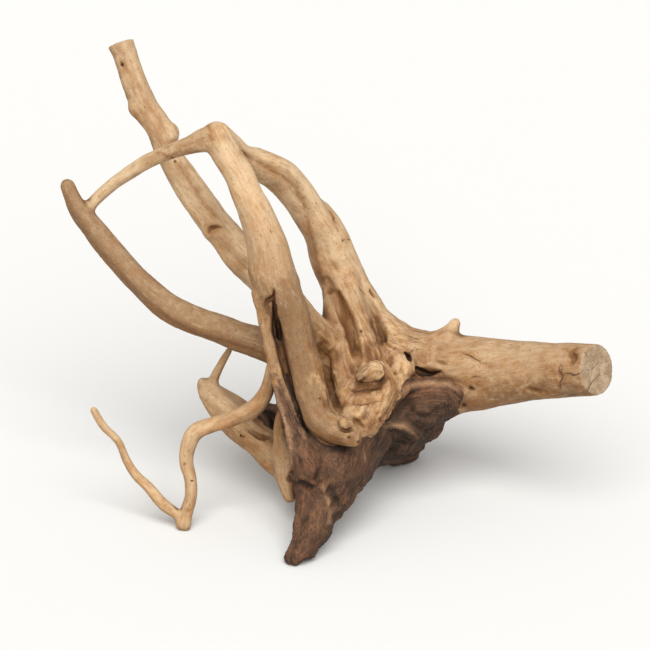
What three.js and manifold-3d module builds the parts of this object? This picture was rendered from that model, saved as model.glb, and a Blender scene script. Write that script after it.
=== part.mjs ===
// A piece of driftwood: the root crown of a small tree, cleaned by water and sand.
// A sawn trunk runs out to one side, long roots arch out of the crown to the other, and the
// underside is a dark, weathered wedge of old wood that ends in a toe. It grew as one piece,
// so it is one solid. Millimetres and degrees, +Z up.
//
// The strands are drawn in the frame of the front view, where x runs right, z runs up the
// view and y runs away from the viewer. The drawn piece is then tipped back by LEAN_DEG, which
// sets it down on its three low points: the toe, the knee of the thin root and the heel.

import * as THREE from "three";
import { mergeVertices } from "three/addons/utils/BufferGeometryUtils.js";
import Module from "manifold-3d";

const wasm = await Module();
wasm.setup();

// Stance: how far the front view is tipped back, and where the tipped piece is set down, so
// that the middle of its base lies on the origin.
const LEAN_DEG = 25;
const SET_DOWN = [-7.7, -125.9, -0.4];

// How fine the facets are: the length of a strand's step, as a share of its radius and in
// millimetres at least, and the width of a facet round it.
const STEP_SHARE = 0.8;
const STEP_LEAST = 7;
const FACET_WIDTH = 7.4;
const SIDES_LEAST = 8;

// Facets round and over a ball, and how near two corners lie to be one.
const BALL_SIDES = 14;
const BALL_RINGS = 9;
const WELD = 1e-4;

// The rings of a domed tip, as [share of the radius, share of the radius beyond the end].
const DOME_RINGS = [
  [0.9, 0.42],
  [0.5, 0.8],
];

// Surface waves of the weathered wood, as shares of a strand's radius. Each has its lobes
// round the strand, its turns for each millimetre along it, and its own part of the phase.
const WAVES = [
  { lobes: 2, perMm: 0.021, share: 0.045, shift: 1.7 },
  { lobes: 3, perMm: -0.034, share: 0.04, shift: 2.7 },
  { lobes: 1, perMm: 0.083, share: 0.03, shift: 3.7 },
];

// How quickly a groove reaches its depth from a strand's ends: the power of a half sine.
const GROOVE_FADE = 0.35;

// The block below the surface that the piece stands on.
const GROUND_WIDTH = 600;
const GROUND_DEPTH = 40;

// Each point of a strand is [x, y, z, radius].
const LONG_ROOT = [
  [-154.8, 95, 390.8, 10],
  [-148.3, 94, 372.5, 9.4],
  [-137.3, 92, 344, 10],
  [-126, 90, 326.5, 10.1],
  [-117.6, 88, 307, 9.7],
  [-107.8, 85, 290, 10.6],
  [-91.2, 81, 264.8, 11.7],
  [-72.8, 76, 239.5, 12.9],
  [-52.8, 70, 219, 13.2],
  [-35.4, 65, 201.8, 13.4],
  [-21, 62, 184.5, 13.2],
  [-5, 62, 161, 15],
  [11, 68, 141, 17],
];

const FRONT_ROOT = [
  [-79.5, 3, 316.3, 10.6],
  [-72, 0, 301, 10.6],
  [-63.2, 0, 286.5, 11],
  [-57, 0, 272.5, 11.6],
  [-48.3, 1, 252.5, 13.4],
  [-41.8, 3, 229, 15.3],
  [-35.7, 6, 203.5, 17.2],
  [-25.5, 8, 187, 13.4],
  [-20.5, 10, 168, 12],
  [-14.5, 14, 142, 12],
  [-9, 17, 121, 11.3],
  [-3.5, 18, 107, 11.3],
  [7, 14, 98, 10.2],
  [17.5, 6, 94.5, 7.8],
  [23, 0, 92, 5.4],
];

const SPLIT_LIP = [
  [-46, 6, 200, 9.5],
  [-44.5, 7, 186, 5.8],
  [-44, 9, 174, 4.8],
  [-41, 12, 160, 4.9],
  [-36, 16, 139, 5],
  [-32, 18, 126, 4.9],
  [-26, 19, 106, 6.2],
  [-21, 17, 92.5, 8],
  [-16.5, 14, 79, 9.8],
  [-13.5, 13, 69, 10.8],
];

const SPLIT_FLOOR = [
  [-36, 14, 195, 11],
  [-33, 20, 174, 8.5],
  [-29, 24, 151, 8],
  [-23, 28, 129, 8.2],
  [-16.5, 32, 109, 9.5],
  [-8, 36, 90, 13],
];

const ARCH_ROOT = [
  [42, 100, 160, 24],
  [30, 98, 175, 22.5],
  [20, 97, 193, 19.2],
  [13, 96, 208, 17],
  [6.3, 92, 224, 16.9],
  [-1.2, 85, 245.2, 15.2],
  [-12.1, 74, 263.2, 13.5],
  [-22.3, 62, 278, 13.3],
  [-33, 50, 287, 12.6],
  [-47.5, 36, 293.8, 9.8],
  [-60.5, 21, 304.5, 8.8],
  [-73, 10, 313, 9],
  [-85.5, 6, 316, 8.6],
  [-100.5, 13, 311, 6.5],
  [-114.5, 22, 307, 5.6],
  [-131, 34, 299.7, 5.3],
  [-154, 50, 285.7, 4.9],
  [-169, 60, 273.5, 4.6],
  [-180.5, 67, 262, 4.3],
];

const LEFT_ROOT = [
  [-193.8, 60, 280.8, 5.5],
  [-186, 62, 264, 7.1],
  [-173.5, 64, 247.3, 8.6],
  [-158.6, 66, 229.7, 9.4],
  [-142.4, 67, 211.6, 10],
  [-127, 67, 196.8, 10.1],
  [-107, 66, 183.7, 10.4],
  [-72, 62, 171, 11.3],
  [-47, 58, 162, 11.7],
  [-22.5, 59, 151.5, 13],
  [4, 66, 136.5, 17],
];

const THIN_ROOT = [
  [-36, 52, 158, 6],
  [-40.8, 46, 141, 4.5],
  [-44.7, 40, 126, 6.2],
  [-54.5, 36, 114, 6.8],
  [-70, 36, 106.5, 6.1],
  [-85, 37, 101.8, 5.8],
  [-97.2, 38, 96, 5.8],
  [-103, 39.5, 86, 5.6],
  [-104.2, 41, 75, 5.2],
  [-101, 43, 63, 5],
  [-100.5, 45, 49, 5.1],
  [-103.3, 46.5, 38, 5],
  [-106.5, 48.5, 27, 5.2],
];

const THIN_TIP = [
  [-105.5, 48.5, 28.5, 4.2],
  [-112, 49, 34, 4.2],
  [-121.5, 51, 40.5, 4.6],
  [-132, 54, 54, 3.8],
  [-142, 56, 63.5, 3.4],
  [-149.5, 56, 76, 3.1],
  [-155.5, 54, 89.5, 3],
  [-167, 51, 101.5, 2.8],
  [-173.5, 48, 112.5, 2.6],
];

const BACK_ROOT = [
  [0, 62, 80, 21],
  [-16, 67, 73.5, 17.2],
  [-31, 72, 75.5, 14.6],
  [-47.7, 80, 86.5, 12.6],
  [-62.7, 88, 98, 12],
  [-76.5, 95, 111.5, 10.6],
  [-88.5, 100, 125, 8.6],
  [-93.5, 102, 132, 6.2],
];

const BACK_FIN = [
  [-20, 84, 92, 15],
  [-38, 92, 96, 11],
  [-55, 102, 105.5, 8.5],
  [-70, 107, 117.2, 7],
  [-83, 106, 124.5, 5],
];

const BACK_TWIG = [
  [-88, 100, 127, 4.8],
  [-86.2, 100, 135, 3.8],
  [-81, 97, 146, 3.1],
  [-74.3, 92, 157, 2.4],
];

const LOWER_SPUR = [
  [-16, 66, 78, 13],
  [-25, 62, 67, 11.8],
  [-27.5, 56, 56, 7.2],
  [-26.5, 50, 48, 4.6],
];

const TRUNK = [
  [34, 92, 140, 30],
  [54, 100, 144, 30],
  [79, 100, 142, 29.6],
  [98, 94, 139.5, 29.4],
  [112.5, 88, 140, 28],
  [133.5, 78, 141, 24.8],
  [154.5, 66, 141.8, 22.8],
  [169, 55, 142.4, 21],
  [187, 40, 142.8, 19.9],
  [201.5, 27, 143.2, 19.5],
];

const TRUNK_STUB = [
  [86, 92, 157, 12.5],
  [91, 90, 166, 8.6],
  [95.2, 88.5, 173, 5.2],
  [97.4, 88, 177, 3.9],
];

const CROWN_LEFT_RIB = [
  [12, 92, 214, 11],
  [7.4, 84, 197, 11.3],
  [10, 72, 176, 11],
  [12, 58, 154, 12],
  [16, 54, 133, 12.5],
  [20, 55, 117, 11],
];

const CROWN_MIDDLE_RIB = [
  [13, 88, 214, 10],
  [20, 76, 190, 10.5],
  [27, 66, 168, 11.5],
  [32, 60, 150, 12],
  [36, 58, 138, 11],
];

const CROWN_RIGHT_RIB = [
  [20, 98, 207, 12],
  [29, 97, 186, 15],
  [41, 95, 166, 17],
  [58, 96, 151, 22.4],
  [76, 98, 148, 22],
];

const KNOB = [
  [27, 50, 134, 8.5],
  [32, 40, 138, 8],
  [37.5, 33, 143, 6.8],
];

const DARK_SPINE = [
  [-20.5, -3.5, 6.8, 8.4],
  [-15.2, 2.5, 15.5, 10.9],
  [-9.9, 9.5, 27, 13.8],
  [-5.8, 16, 39, 17.3],
  [-0.5, 25, 53, 21.8],
  [6, 38, 69, 25.5],
  [15, 54, 88, 28],
  [27, 68, 108, 30],
  [38, 74, 124, 32],
];

const DARK_KEEL = [
  [6, 40, 72, 20],
  [16, 58, 70.5, 16.8],
  [26, 84, 80, 15.8],
  [43, 116, 85.5, 15.8],
  [59, 149.5, 86, 15],
];

const DARK_FLANK = [
  [44, 90, 112, 26],
  [56, 100, 101, 21],
  [67.5, 98, 97, 18.2],
  [79, 88, 111.5, 12.5],
  [92, 88, 121, 14],
];

// Masses of swollen wood, each wrapped tightly round a few balls [x, y, z, radius].
const CROWN_HEART = [
  [22, 82, 122, 27],
  [50, 86, 138, 29],
  [42, 78, 120, 27],
];

const CROWN_LEDGE = [
  [12, 41, 103, 13.5],
  [26, 39, 105, 14.5],
  [31, 42, 111, 15],
  [43, 48, 128, 12.5],
  [34, 58, 141, 13],
  [18, 46, 118, 14],
];

const BACK_WEB = [
  [-20, 84, 92, 13],
  [-37, 82, 106, 10.5],
];

const DARK_LOBE = [
  [62, 66, 120, 15.5],
  [86, 62, 121, 12.5],
  [92, 64, 118, 11.5],
  [74, 64, 112, 13],
  [84, 80, 114, 14],
];

const DARK_FOLD = [
  [50, 66, 104, 14],
  [64, 70, 100, 12.5],
  [58, 84, 92, 13],
];

// Uniform Catmull-Rom through four values, at t from 0 to 1 between the middle two.
function catmullRom(a, b, c, d, t) {
  const slopeB = (c - a) / 2;
  const slopeC = (d - b) / 2;
  const t2 = t * t;
  const t3 = t2 * t;
  return (2 * t3 - 3 * t2 + 1) * b + (t3 - 2 * t2 + t) * slopeB
    + (3 * t2 - 2 * t3) * c + (t3 - t2) * slopeC;
}

// The stations of a strand: points along its smooth line, a step apart, as {at, radius}.
function stationsOf(line) {
  const stations = [];
  const last = line.length - 1;
  for (let i = 0; i < last; i += 1) {
    const [a, b, c, d] = [Math.max(i - 1, 0), i, i + 1, Math.min(i + 2, last)].map((j) => line[j]);
    const length = Math.hypot(c[0] - b[0], c[1] - b[1], c[2] - b[2]);
    const step = Math.max(STEP_LEAST, STEP_SHARE * Math.min(b[3], c[3]));
    const count = Math.max(1, Math.round(length / step));
    for (let k = 0; k < count; k += 1) {
      const [x, y, z, radius] = [0, 1, 2, 3].map((n) => catmullRom(a[n], b[n], c[n], d[n], k / count));
      stations.push({ at: new THREE.Vector3(x, y, z), radius });
    }
  }
  const [x, y, z, radius] = line[last];
  stations.push({ at: new THREE.Vector3(x, y, z), radius });
  return stations;
}

// Gives each station its distance along the strand and a frame square to it: the tangent, a
// normal towards the viewer of the front view, and the side.
function frameStations(stations) {
  const toViewer = new THREE.Vector3(0, -1, 0);
  let along = 0;
  stations.forEach((s, i) => {
    const before = stations[Math.max(i - 1, 0)].at;
    const after = stations[Math.min(i + 1, stations.length - 1)].at;
    if (i > 0) along += s.at.distanceTo(before);
    s.along = along;
    s.tangent = after.clone().sub(before).normalize();
    s.normal = toViewer.clone().addScaledVector(s.tangent, -toViewer.dot(s.tangent)).normalize();
    s.side = s.tangent.clone().cross(s.normal);
  });
  return stations;
}

// How far a strand's skin stands out at an angle and a distance along it, as a share of its
// radius: the weathered waves, and its grooves, each a gaussian furrow at its own angle.
function skin(angle, along, length, phase, rough, grooves) {
  let share = 1;
  for (const wave of WAVES) {
    const turn = wave.lobes * angle + wave.perMm * 2 * Math.PI * along;
    share += rough * wave.share * Math.sin(turn + phase * wave.shift);
  }
  const fade = Math.sin(Math.PI * THREE.MathUtils.clamp(along / length, 0, 1)) ** GROOVE_FADE;
  for (const groove of grooves) {
    const aside = angle - groove.angle - (groove.twist ?? 0) * along;
    const off = Math.atan2(Math.sin(aside), Math.cos(aside));
    share -= groove.depth * fade * Math.exp(-((off / groove.width) ** 2));
  }
  return share;
}

// A strand of wood: a ring of facets carried along its line, closed by a domed tip or, where
// it was sawn, by a flat face. The facets straddle the round skin, so that it keeps its width.
function strand(line, { phase = 0, rough = 1, grooves = [], sawnStart = false, sawnEnd = false } = {}) {
  const stations = frameStations(stationsOf(line));
  const length = stations.at(-1).along;
  const meanRadius = stations.reduce((sum, s) => sum + s.radius, 0) / stations.length;
  const sides = Math.max(SIDES_LEAST, Math.round((2 * Math.PI * meanRadius) / FACET_WIDTH));
  const fullness = (1 + 1 / Math.cos(Math.PI / sides)) / 2;
  const rings = [];
  const dome = (s, sign) => DOME_RINGS.map(([wide, out]) => ({
    ...s,
    at: s.at.clone().addScaledVector(s.tangent, sign * out * s.radius),
    radius: s.radius * wide,
  }));
  const first = stations[0];
  const final = stations.at(-1);
  if (!sawnStart) rings.push(...dome(first, -1).reverse());
  rings.push(...stations);
  if (!sawnEnd) rings.push(...dome(final, 1));

  const positions = [];
  for (const s of rings) {
    for (let k = 0; k < sides; k += 1) {
      const angle = (2 * Math.PI * k) / sides;
      const r = fullness * s.radius * skin(angle, s.along, length, phase, rough, grooves);
      positions.push(...s.at.clone()
        .addScaledVector(s.normal, r * Math.cos(angle))
        .addScaledVector(s.side, r * Math.sin(angle)));
    }
  }
  const startPole = positions.length / 3;
  positions.push(...first.at.clone().addScaledVector(first.tangent, sawnStart ? 0 : -first.radius));
  positions.push(...final.at.clone().addScaledVector(final.tangent, sawnEnd ? 0 : final.radius));

  const index = [];
  const top = (rings.length - 1) * sides;
  for (let k = 0; k < sides; k += 1) {
    const next = (k + 1) % sides;
    for (let i = 0; i < rings.length - 1; i += 1) {
      const here = i * sides;
      const there = here + sides;
      index.push(here + k, here + next, there + next, here + k, there + next, there + k);
    }
    index.push(startPole, next, k, startPole + 1, top + k, top + next);
  }
  return new THREE.BufferGeometry()
    .setAttribute("position", new THREE.Float32BufferAttribute(positions, 3))
    .setIndex(index);
}

// A burl, or the tool for a hollow: a ball drawn out to three half-widths and turned about y.
function burl(at, halfWidths, turnDeg = 0) {
  return new THREE.SphereGeometry(1, BALL_SIDES, BALL_RINGS)
    .scale(...halfWidths)
    .rotateY(THREE.MathUtils.degToRad(turnDeg))
    .translate(...at);
}

// A three.js geometry as a solid that can be joined and cut.
function solid(geometry) {
  const bare = geometry.clone();
  bare.deleteAttribute("normal");
  bare.deleteAttribute("uv");
  const merged = mergeVertices(bare, WELD);
  const made = new wasm.Manifold(new wasm.Mesh({
    numProp: 3,
    vertProperties: new Float32Array(merged.attributes.position.array),
    triVerts: new Uint32Array(merged.index.array),
  }));
  if (made.volume() < 0) throw new Error("a strand is inside out");
  return made;
}

// The tight wrap round a mass's balls.
function mass(balls) {
  return wasm.Manifold.hull(balls.map(([x, y, z, radius]) => (
    solid(burl([x, y, z], [radius, radius, radius])))));
}

// A solid back as three.js geometry.
function geometryOf(body) {
  const mesh = body.getMesh();
  return new THREE.BufferGeometry()
    .setAttribute("position", new THREE.BufferAttribute(mesh.vertProperties, 3))
    .setIndex(new THREE.BufferAttribute(mesh.triVerts, 1));
}

const strands = [
  strand(LONG_ROOT, { phase: 0.4, sawnStart: true, grooves: [{ angle: 0.5, width: 0.35, depth: 0.14 }] }),
  strand(FRONT_ROOT, { phase: 1.3, rough: 0.8 }),
  strand(SPLIT_LIP, { phase: 2.2 }),
  strand(SPLIT_FLOOR, { phase: 2.9 }),
  strand(ARCH_ROOT, {
    phase: 3.1,
    rough: 0.9,
    grooves: [{ angle: -0.35, width: 0.32, depth: 0.2, twist: 0.0015 }],
  }),
  strand(LEFT_ROOT, { phase: 4.2, grooves: [{ angle: 0.95, width: 0.3, depth: 0.16 }] }),
  strand(THIN_ROOT, { phase: 5.1 }),
  strand(THIN_TIP, { phase: 0.9 }),
  strand(BACK_ROOT, { phase: 1.9, grooves: [{ angle: -0.7, width: 0.4, depth: 0.2 }] }),
  strand(BACK_FIN, { phase: 2.6 }),
  strand(BACK_TWIG, { phase: 3.7 }),
  strand(LOWER_SPUR, { phase: 4.4 }),
  strand(TRUNK, { phase: 5.6, rough: 0.3, sawnEnd: true }),
  strand(TRUNK_STUB, { phase: 0.2 }),
  strand(CROWN_LEFT_RIB, { phase: 1.1 }),
  strand(CROWN_MIDDLE_RIB, { phase: 2.3 }),
  strand(CROWN_RIGHT_RIB, { phase: 3.4 }),
  strand(KNOB, { phase: 5.9, rough: 0.5 }),
  strand(DARK_SPINE, {
    phase: 0.7,
    rough: 0.8,
    grooves: [{ angle: 0.75, width: 0.42, depth: 0.13 }, { angle: -0.75, width: 0.42, depth: 0.08 }],
  }),
  strand(DARK_KEEL, { phase: 1.6, rough: 0.8 }),
  strand(DARK_FLANK, { phase: 2.8, rough: 0.6 }),
];

const burls = [
  burl([-118.6, 87, 321.5], [7, 7, 9], 15),
  burl([-84, 74, 248], [8, 6, 6.5], 35),
];

const masses = [CROWN_HEART, CROWN_LEDGE, BACK_WEB, DARK_LOBE, DARK_FOLD].map(mass);

const hollows = [
  burl([79, 74, 140], [9, 9, 4.5], 8),
  burl([61, 66, 153], [2.6, 14, 3], 0),
  burl([-8, 22, 140], [3.5, 20, 24], 12),
];

let wood = strands.concat(burls).map(solid).concat(masses).reduce((whole, piece) => whole.add(piece));
wood = hollows.map(solid).reduce((whole, piece) => whole.subtract(piece), wood);

// Tipped back and set down, the three low points are worn flat on the surface it stands on.
const tip = new THREE.Matrix4()
  .makeTranslation(...SET_DOWN)
  .multiply(new THREE.Matrix4().makeRotationX(THREE.MathUtils.degToRad(-LEAN_DEG)));
const tipped = solid(geometryOf(wood).applyMatrix4(tip));
const ground = solid(
  new THREE.BoxGeometry(GROUND_WIDTH, GROUND_WIDTH, GROUND_DEPTH).translate(0, 0, -GROUND_DEPTH / 2),
);
const stood = tipped.subtract(ground);

// Pockets that the fused strands close off are filled, and loose scraps are dropped.
const whole = stood.decompose().sort((a, b) => b.volume() - a.volume())[0];

const wornWood = new THREE.MeshStandardMaterial({ color: 0xc9a47a, roughness: 0.75, metalness: 0 });
const driftwood = new THREE.Mesh(geometryOf(whole), wornWood);
driftwood.name = "driftwood";

const piece = new THREE.Group();
piece.add(driftwood);

export default piece;
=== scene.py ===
"""A piece of driftwood: a sawn trunk, long roots that arch out of a knotted crown, and an
underside of dark old wood, weathered by water and sand and set down on three low points."""

import bpy
import numpy as np
import openvdb
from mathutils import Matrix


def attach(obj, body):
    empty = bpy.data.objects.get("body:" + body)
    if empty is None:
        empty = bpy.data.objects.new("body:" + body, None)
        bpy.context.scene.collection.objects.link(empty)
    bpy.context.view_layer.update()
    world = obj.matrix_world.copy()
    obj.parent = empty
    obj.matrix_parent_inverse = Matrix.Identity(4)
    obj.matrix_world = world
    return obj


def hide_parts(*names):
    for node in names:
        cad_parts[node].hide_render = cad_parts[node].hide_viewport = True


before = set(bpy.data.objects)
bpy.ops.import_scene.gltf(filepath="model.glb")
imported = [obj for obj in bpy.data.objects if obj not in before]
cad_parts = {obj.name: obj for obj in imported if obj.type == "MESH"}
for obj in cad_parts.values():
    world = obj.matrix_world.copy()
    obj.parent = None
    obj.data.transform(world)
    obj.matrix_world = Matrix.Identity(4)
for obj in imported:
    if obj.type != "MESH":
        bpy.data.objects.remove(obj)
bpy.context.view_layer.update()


# The light roots and the trunk.
# Sound, pale wood that the water has stripped of its bark. Each strand is a round profile carried
# along a line. Millimetres in the front view: x right, y away from the viewer, z up the view.

# Each point of a line is (x, y, z, radius).
LONG_ROOT = [
    (-155.4, 95, 390.4, 10), (-149, 94, 372.5, 9.4), (-138, 92, 344, 9.8), (-126.5, 90, 326.5, 10),
    (-118.2, 88, 307, 9.7), (-108.6, 85, 289.6, 10.6), (-91.2, 81, 264.8, 11.7), (-72.8, 76, 239.5, 12.9),
    (-52.8, 70, 219, 13.2), (-35.4, 65, 201.8, 13.4), (-21, 62, 184.5, 13.2), (-5, 62, 161, 15),
    (11, 68, 141, 17),
]
FRONT_ROOT = [
    (-79.5, 3, 316.3, 10.6), (-72, 0, 301, 10.6), (-63.2, 0, 286.5, 11), (-57, 0, 272.5, 11.6),
    (-48.3, 1, 252.5, 13.4), (-41.8, 3, 229, 15.3), (-35.7, 6, 203.5, 17.2), (-25.5, 8, 187, 13.4),
    (-20.5, 10, 168, 12), (-14.5, 14, 142, 12), (-9.6, 17, 121, 12), (-5, 17, 107.4, 12.4),
    (7, 14, 98, 10.2), (16, 6, 95, 7.8), (21.3, 1, 91.6, 4.8),
]
SPLIT_LIP = [
    (-46, 6, 200, 9.5), (-44.5, 7, 186, 5.8), (-44, 9, 174, 4.8), (-41, 12, 160, 4.9), (-36, 16, 139, 5),
    (-32, 18, 126, 4.9), (-26, 19, 106, 6.2), (-21, 17, 92.5, 8), (-16.5, 14, 79, 9.8),
    (-13.5, 13, 69, 10.8),
]
SPLIT_FLOOR = [
    (-36, 14, 195, 11), (-33, 20, 174, 8.5), (-29, 24, 151, 8), (-23, 28, 129, 8.2),
    (-16.5, 32, 109, 9.5), (-8, 36, 90, 13),
]
ARCH_ROOT = [
    (42, 100, 160, 24), (30, 98, 175, 22.5), (20, 97, 193, 19.2), (13.6, 96, 208, 16.4),
    (6.9, 92, 224.4, 16.4), (-1.2, 85, 245.2, 15.2), (-12.1, 74, 263.2, 13.5), (-23, 62, 277.4, 12.7),
    (-33, 50, 288.2, 12.9), (-47.5, 36, 296.8, 11.8), (-60.5, 21, 303.6, 7.4), (-73, 10, 313, 9),
    (-85.5, 6, 315, 9.2), (-100.5, 13, 310.2, 6.8), (-114.5, 22, 306, 5.6), (-131, 34, 299.6, 5.3),
    (-154, 50, 285.9, 4.9), (-169, 60, 274.4, 4.6), (-180.5, 67, 262, 4.3),
]
ARCH_SHOULDER = [
    (-2, 83, 263, 5.5), (2.6, 84, 254, 7.4), (7.4, 88, 242.5, 8.7), (13.2, 92, 229, 9.2),
    (18.6, 95, 216, 9.4),
]
LEFT_ROOT = [
    (-193.8, 60, 280.8, 5.5), (-186, 62, 264, 7.1), (-173.5, 64, 247.3, 8.6), (-158.6, 66, 229.7, 9.4),
    (-142.4, 67, 211.6, 10), (-127, 67, 196.8, 10.1), (-107, 66, 183.7, 10.4), (-72, 62, 171, 11.3),
    (-47, 58, 162, 11.7), (-22.5, 59, 151.5, 13), (4, 66, 136.5, 17),
]
THIN_ROOT = [
    (-36, 52, 158, 6), (-40.8, 46, 141, 4.5), (-44, 40, 126, 5.5), (-54.5, 36, 114, 6.8),
    (-70, 36, 106.5, 6.1), (-85, 37, 101.8, 5.8), (-97.2, 38, 96, 5.8), (-103, 39.5, 86, 5.6),
    (-104.2, 41, 75, 5.2), (-101, 43, 63, 5), (-100.5, 45, 49, 5.1), (-103.3, 46.5, 38, 5),
    (-106.5, 48.5, 27, 5.2),
]
THIN_TIP = [
    (-105.5, 48.5, 28.5, 4.2), (-111.6, 49, 35, 4), (-120.8, 51, 41.6, 4.3), (-132, 54, 54, 3.8),
    (-142, 56, 63.5, 3.4), (-149.5, 56, 76, 3.1), (-155.5, 54, 89.5, 3), (-167, 51, 101.5, 2.8),
    (-173.5, 48, 112.5, 2.6),
]
BACK_ROOT = [
    (0, 62, 80, 21), (-16, 67, 73.5, 17.2), (-31, 72, 75.5, 14.6), (-47.7, 80, 86.5, 12.6),
    (-62.7, 88, 98, 12), (-76.5, 95, 111.5, 10.6), (-88.5, 100, 125, 8.2), (-92.5, 102, 131.2, 5.4),
]
BACK_FIN = [
    (-20, 84, 92, 15), (-38, 92, 96, 11), (-55, 102, 105.5, 8.5), (-70, 107, 117.2, 7),
    (-83, 106, 124.5, 5),
]
BACK_EDGE = [
    (-33, 42, 113, 2.5), (-34.2, 48, 105, 3.8), (-34.2, 54, 95, 5), (-32, 58, 82, 7),
]
BACK_TWIG = [
    (-87, 100, 126.6, 4.6), (-84.8, 100, 134.8, 3.8), (-79.6, 97, 145.8, 3.1), (-73, 92, 157, 2.4),
]
LOWER_SPUR = [
    (-16, 66, 78, 13), (-25, 62, 67, 11.8), (-27.5, 56, 56, 7.2), (-26.5, 50, 48, 4.6),
]
TRUNK = [
    (34, 92, 140, 30), (54, 100, 144, 30), (79, 100, 142, 29.6), (98, 94, 139.5, 29.4),
    (112.5, 88, 140, 28), (133.5, 78, 141, 24.8), (154.5, 66, 141.8, 22.8), (169, 55, 142.4, 21),
    (187, 40, 142.8, 19.9), (202.6, 26, 143.4, 19.3),
]
TRUNK_STUB = [
    (86, 92, 157, 12.5), (91, 90, 166, 8.6), (95.6, 88.5, 173.4, 5.6), (97.9, 88, 177.8, 4.2),
]
CROWN_LEFT_RIB = [
    (13.5, 92, 214, 10), (9, 84, 197, 10.6), (10, 72, 176, 11), (12, 58, 154, 12), (16, 54, 133, 12.5),
    (20, 55, 117, 11),
]
CROWN_MIDDLE_RIB = [
    (13, 88, 214, 10), (20, 76, 190, 10.5), (27, 66, 168, 11.5), (32, 60, 150, 12), (36, 58, 138, 11),
]
CROWN_RIGHT_RIB = [
    (20, 98, 207, 12), (28.6, 97, 186, 14.8), (40.4, 95, 166, 16.4), (58, 96, 150, 21.8),
    (76, 98, 148, 22),
]
KNOB = [
    (27, 50, 134, 8.5), (32, 40, 138, 8), (37.5, 33, 143, 6.8),
]
CROWN_HEART = [
    (22, 82, 122, 27), (50, 86, 138, 29), (42, 78, 120, 27),
]
CROWN_LEDGE = [
    (12, 41, 103, 13.5), (26, 39, 105, 14.5), (31, 42, 111, 15), (43, 48, 128, 12.5), (34, 58, 141, 13),
    (18, 46, 118, 14),
]
FRONT_WEB = [
    (-22, 22, 191, 10), (-12.5, 37, 178, 9.5), (-3, 50, 164, 11),
]
BACK_WEB = [
    (-20, 84, 92, 13), (-37, 82, 106, 10.5), (-43, 84, 110, 7.2),
]


def smooth_line(line, step=3.0):
    """The Catmull-Rom curve through a line's points, sampled about once every step."""
    points = np.array(line, float)
    padded = np.vstack([points[:1], points, points[-1:]])
    pieces = []
    for a, b, c, d in zip(padded, padded[1:], padded[2:], padded[3:]):
        count = max(1, round(float(np.linalg.norm(c[:3] - b[:3])) / step))
        t = np.linspace(0, 1, count, endpoint=False)[:, None]
        pieces.append(
            (2 * t**3 - 3 * t**2 + 1) * b
            + (t**3 - 2 * t**2 + t) * (c - a) / 2
            + (3 * t**2 - 2 * t**3) * c
            + (t**3 - t**2) * (d - b) / 2
        )
    return np.vstack(pieces + [points[-1:]])


class Strand:
    """A strand's smooth line with a frame at each station: the tangent, the normal towards the
    viewer made square to it, and the side, their cross product. Blend is the width of its fillet,
    phase turns its waves and seeds its noise, rough and flutes scale its relief, a groove is
    (angle, width, depth, twist), and the five traits from dark to aged tint its finish."""

    def __init__(self, line, blend=5.0, phase=0.0, rough=1.0, grooves=(), dark=0.0, warm=0.4,
                 pale=0.4, tone=0.0, aged=0.0, flutes=1.0, sawn=None):
        self.stations = smooth_line(line)
        self.at, self.radius = self.stations[:, :3], self.stations[:, 3]
        steps = np.linalg.norm(np.diff(self.at, axis=0), axis=1)
        self.along = np.concatenate([[0], np.cumsum(steps)])
        self.length = self.along[-1]
        tangent = np.gradient(self.at, axis=0)
        self.tangent = tangent / np.linalg.norm(tangent, axis=1, keepdims=True)
        viewer = np.array([0.0, -1.0, 0.0])
        normal = viewer - (self.tangent @ viewer)[:, None] * self.tangent
        self.normal = normal / np.linalg.norm(normal, axis=1, keepdims=True)
        self.side = np.cross(self.tangent, self.normal)
        self.blend, self.phase, self.rough, self.grooves = blend, phase, rough, grooves
        self.flutes, self.sawn = flutes, sawn
        self.traits = dict(dark=dark, warm=warm, pale=pale, tone=tone, aged=aged)

    def saw_cut(self):
        """The middle of the sawn end, and the direction out of it along the strand."""
        end, out = (0, -1.0) if self.sawn == "start" else (-1, 1.0)
        return self.at[end], self.tangent[end] * out


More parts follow.
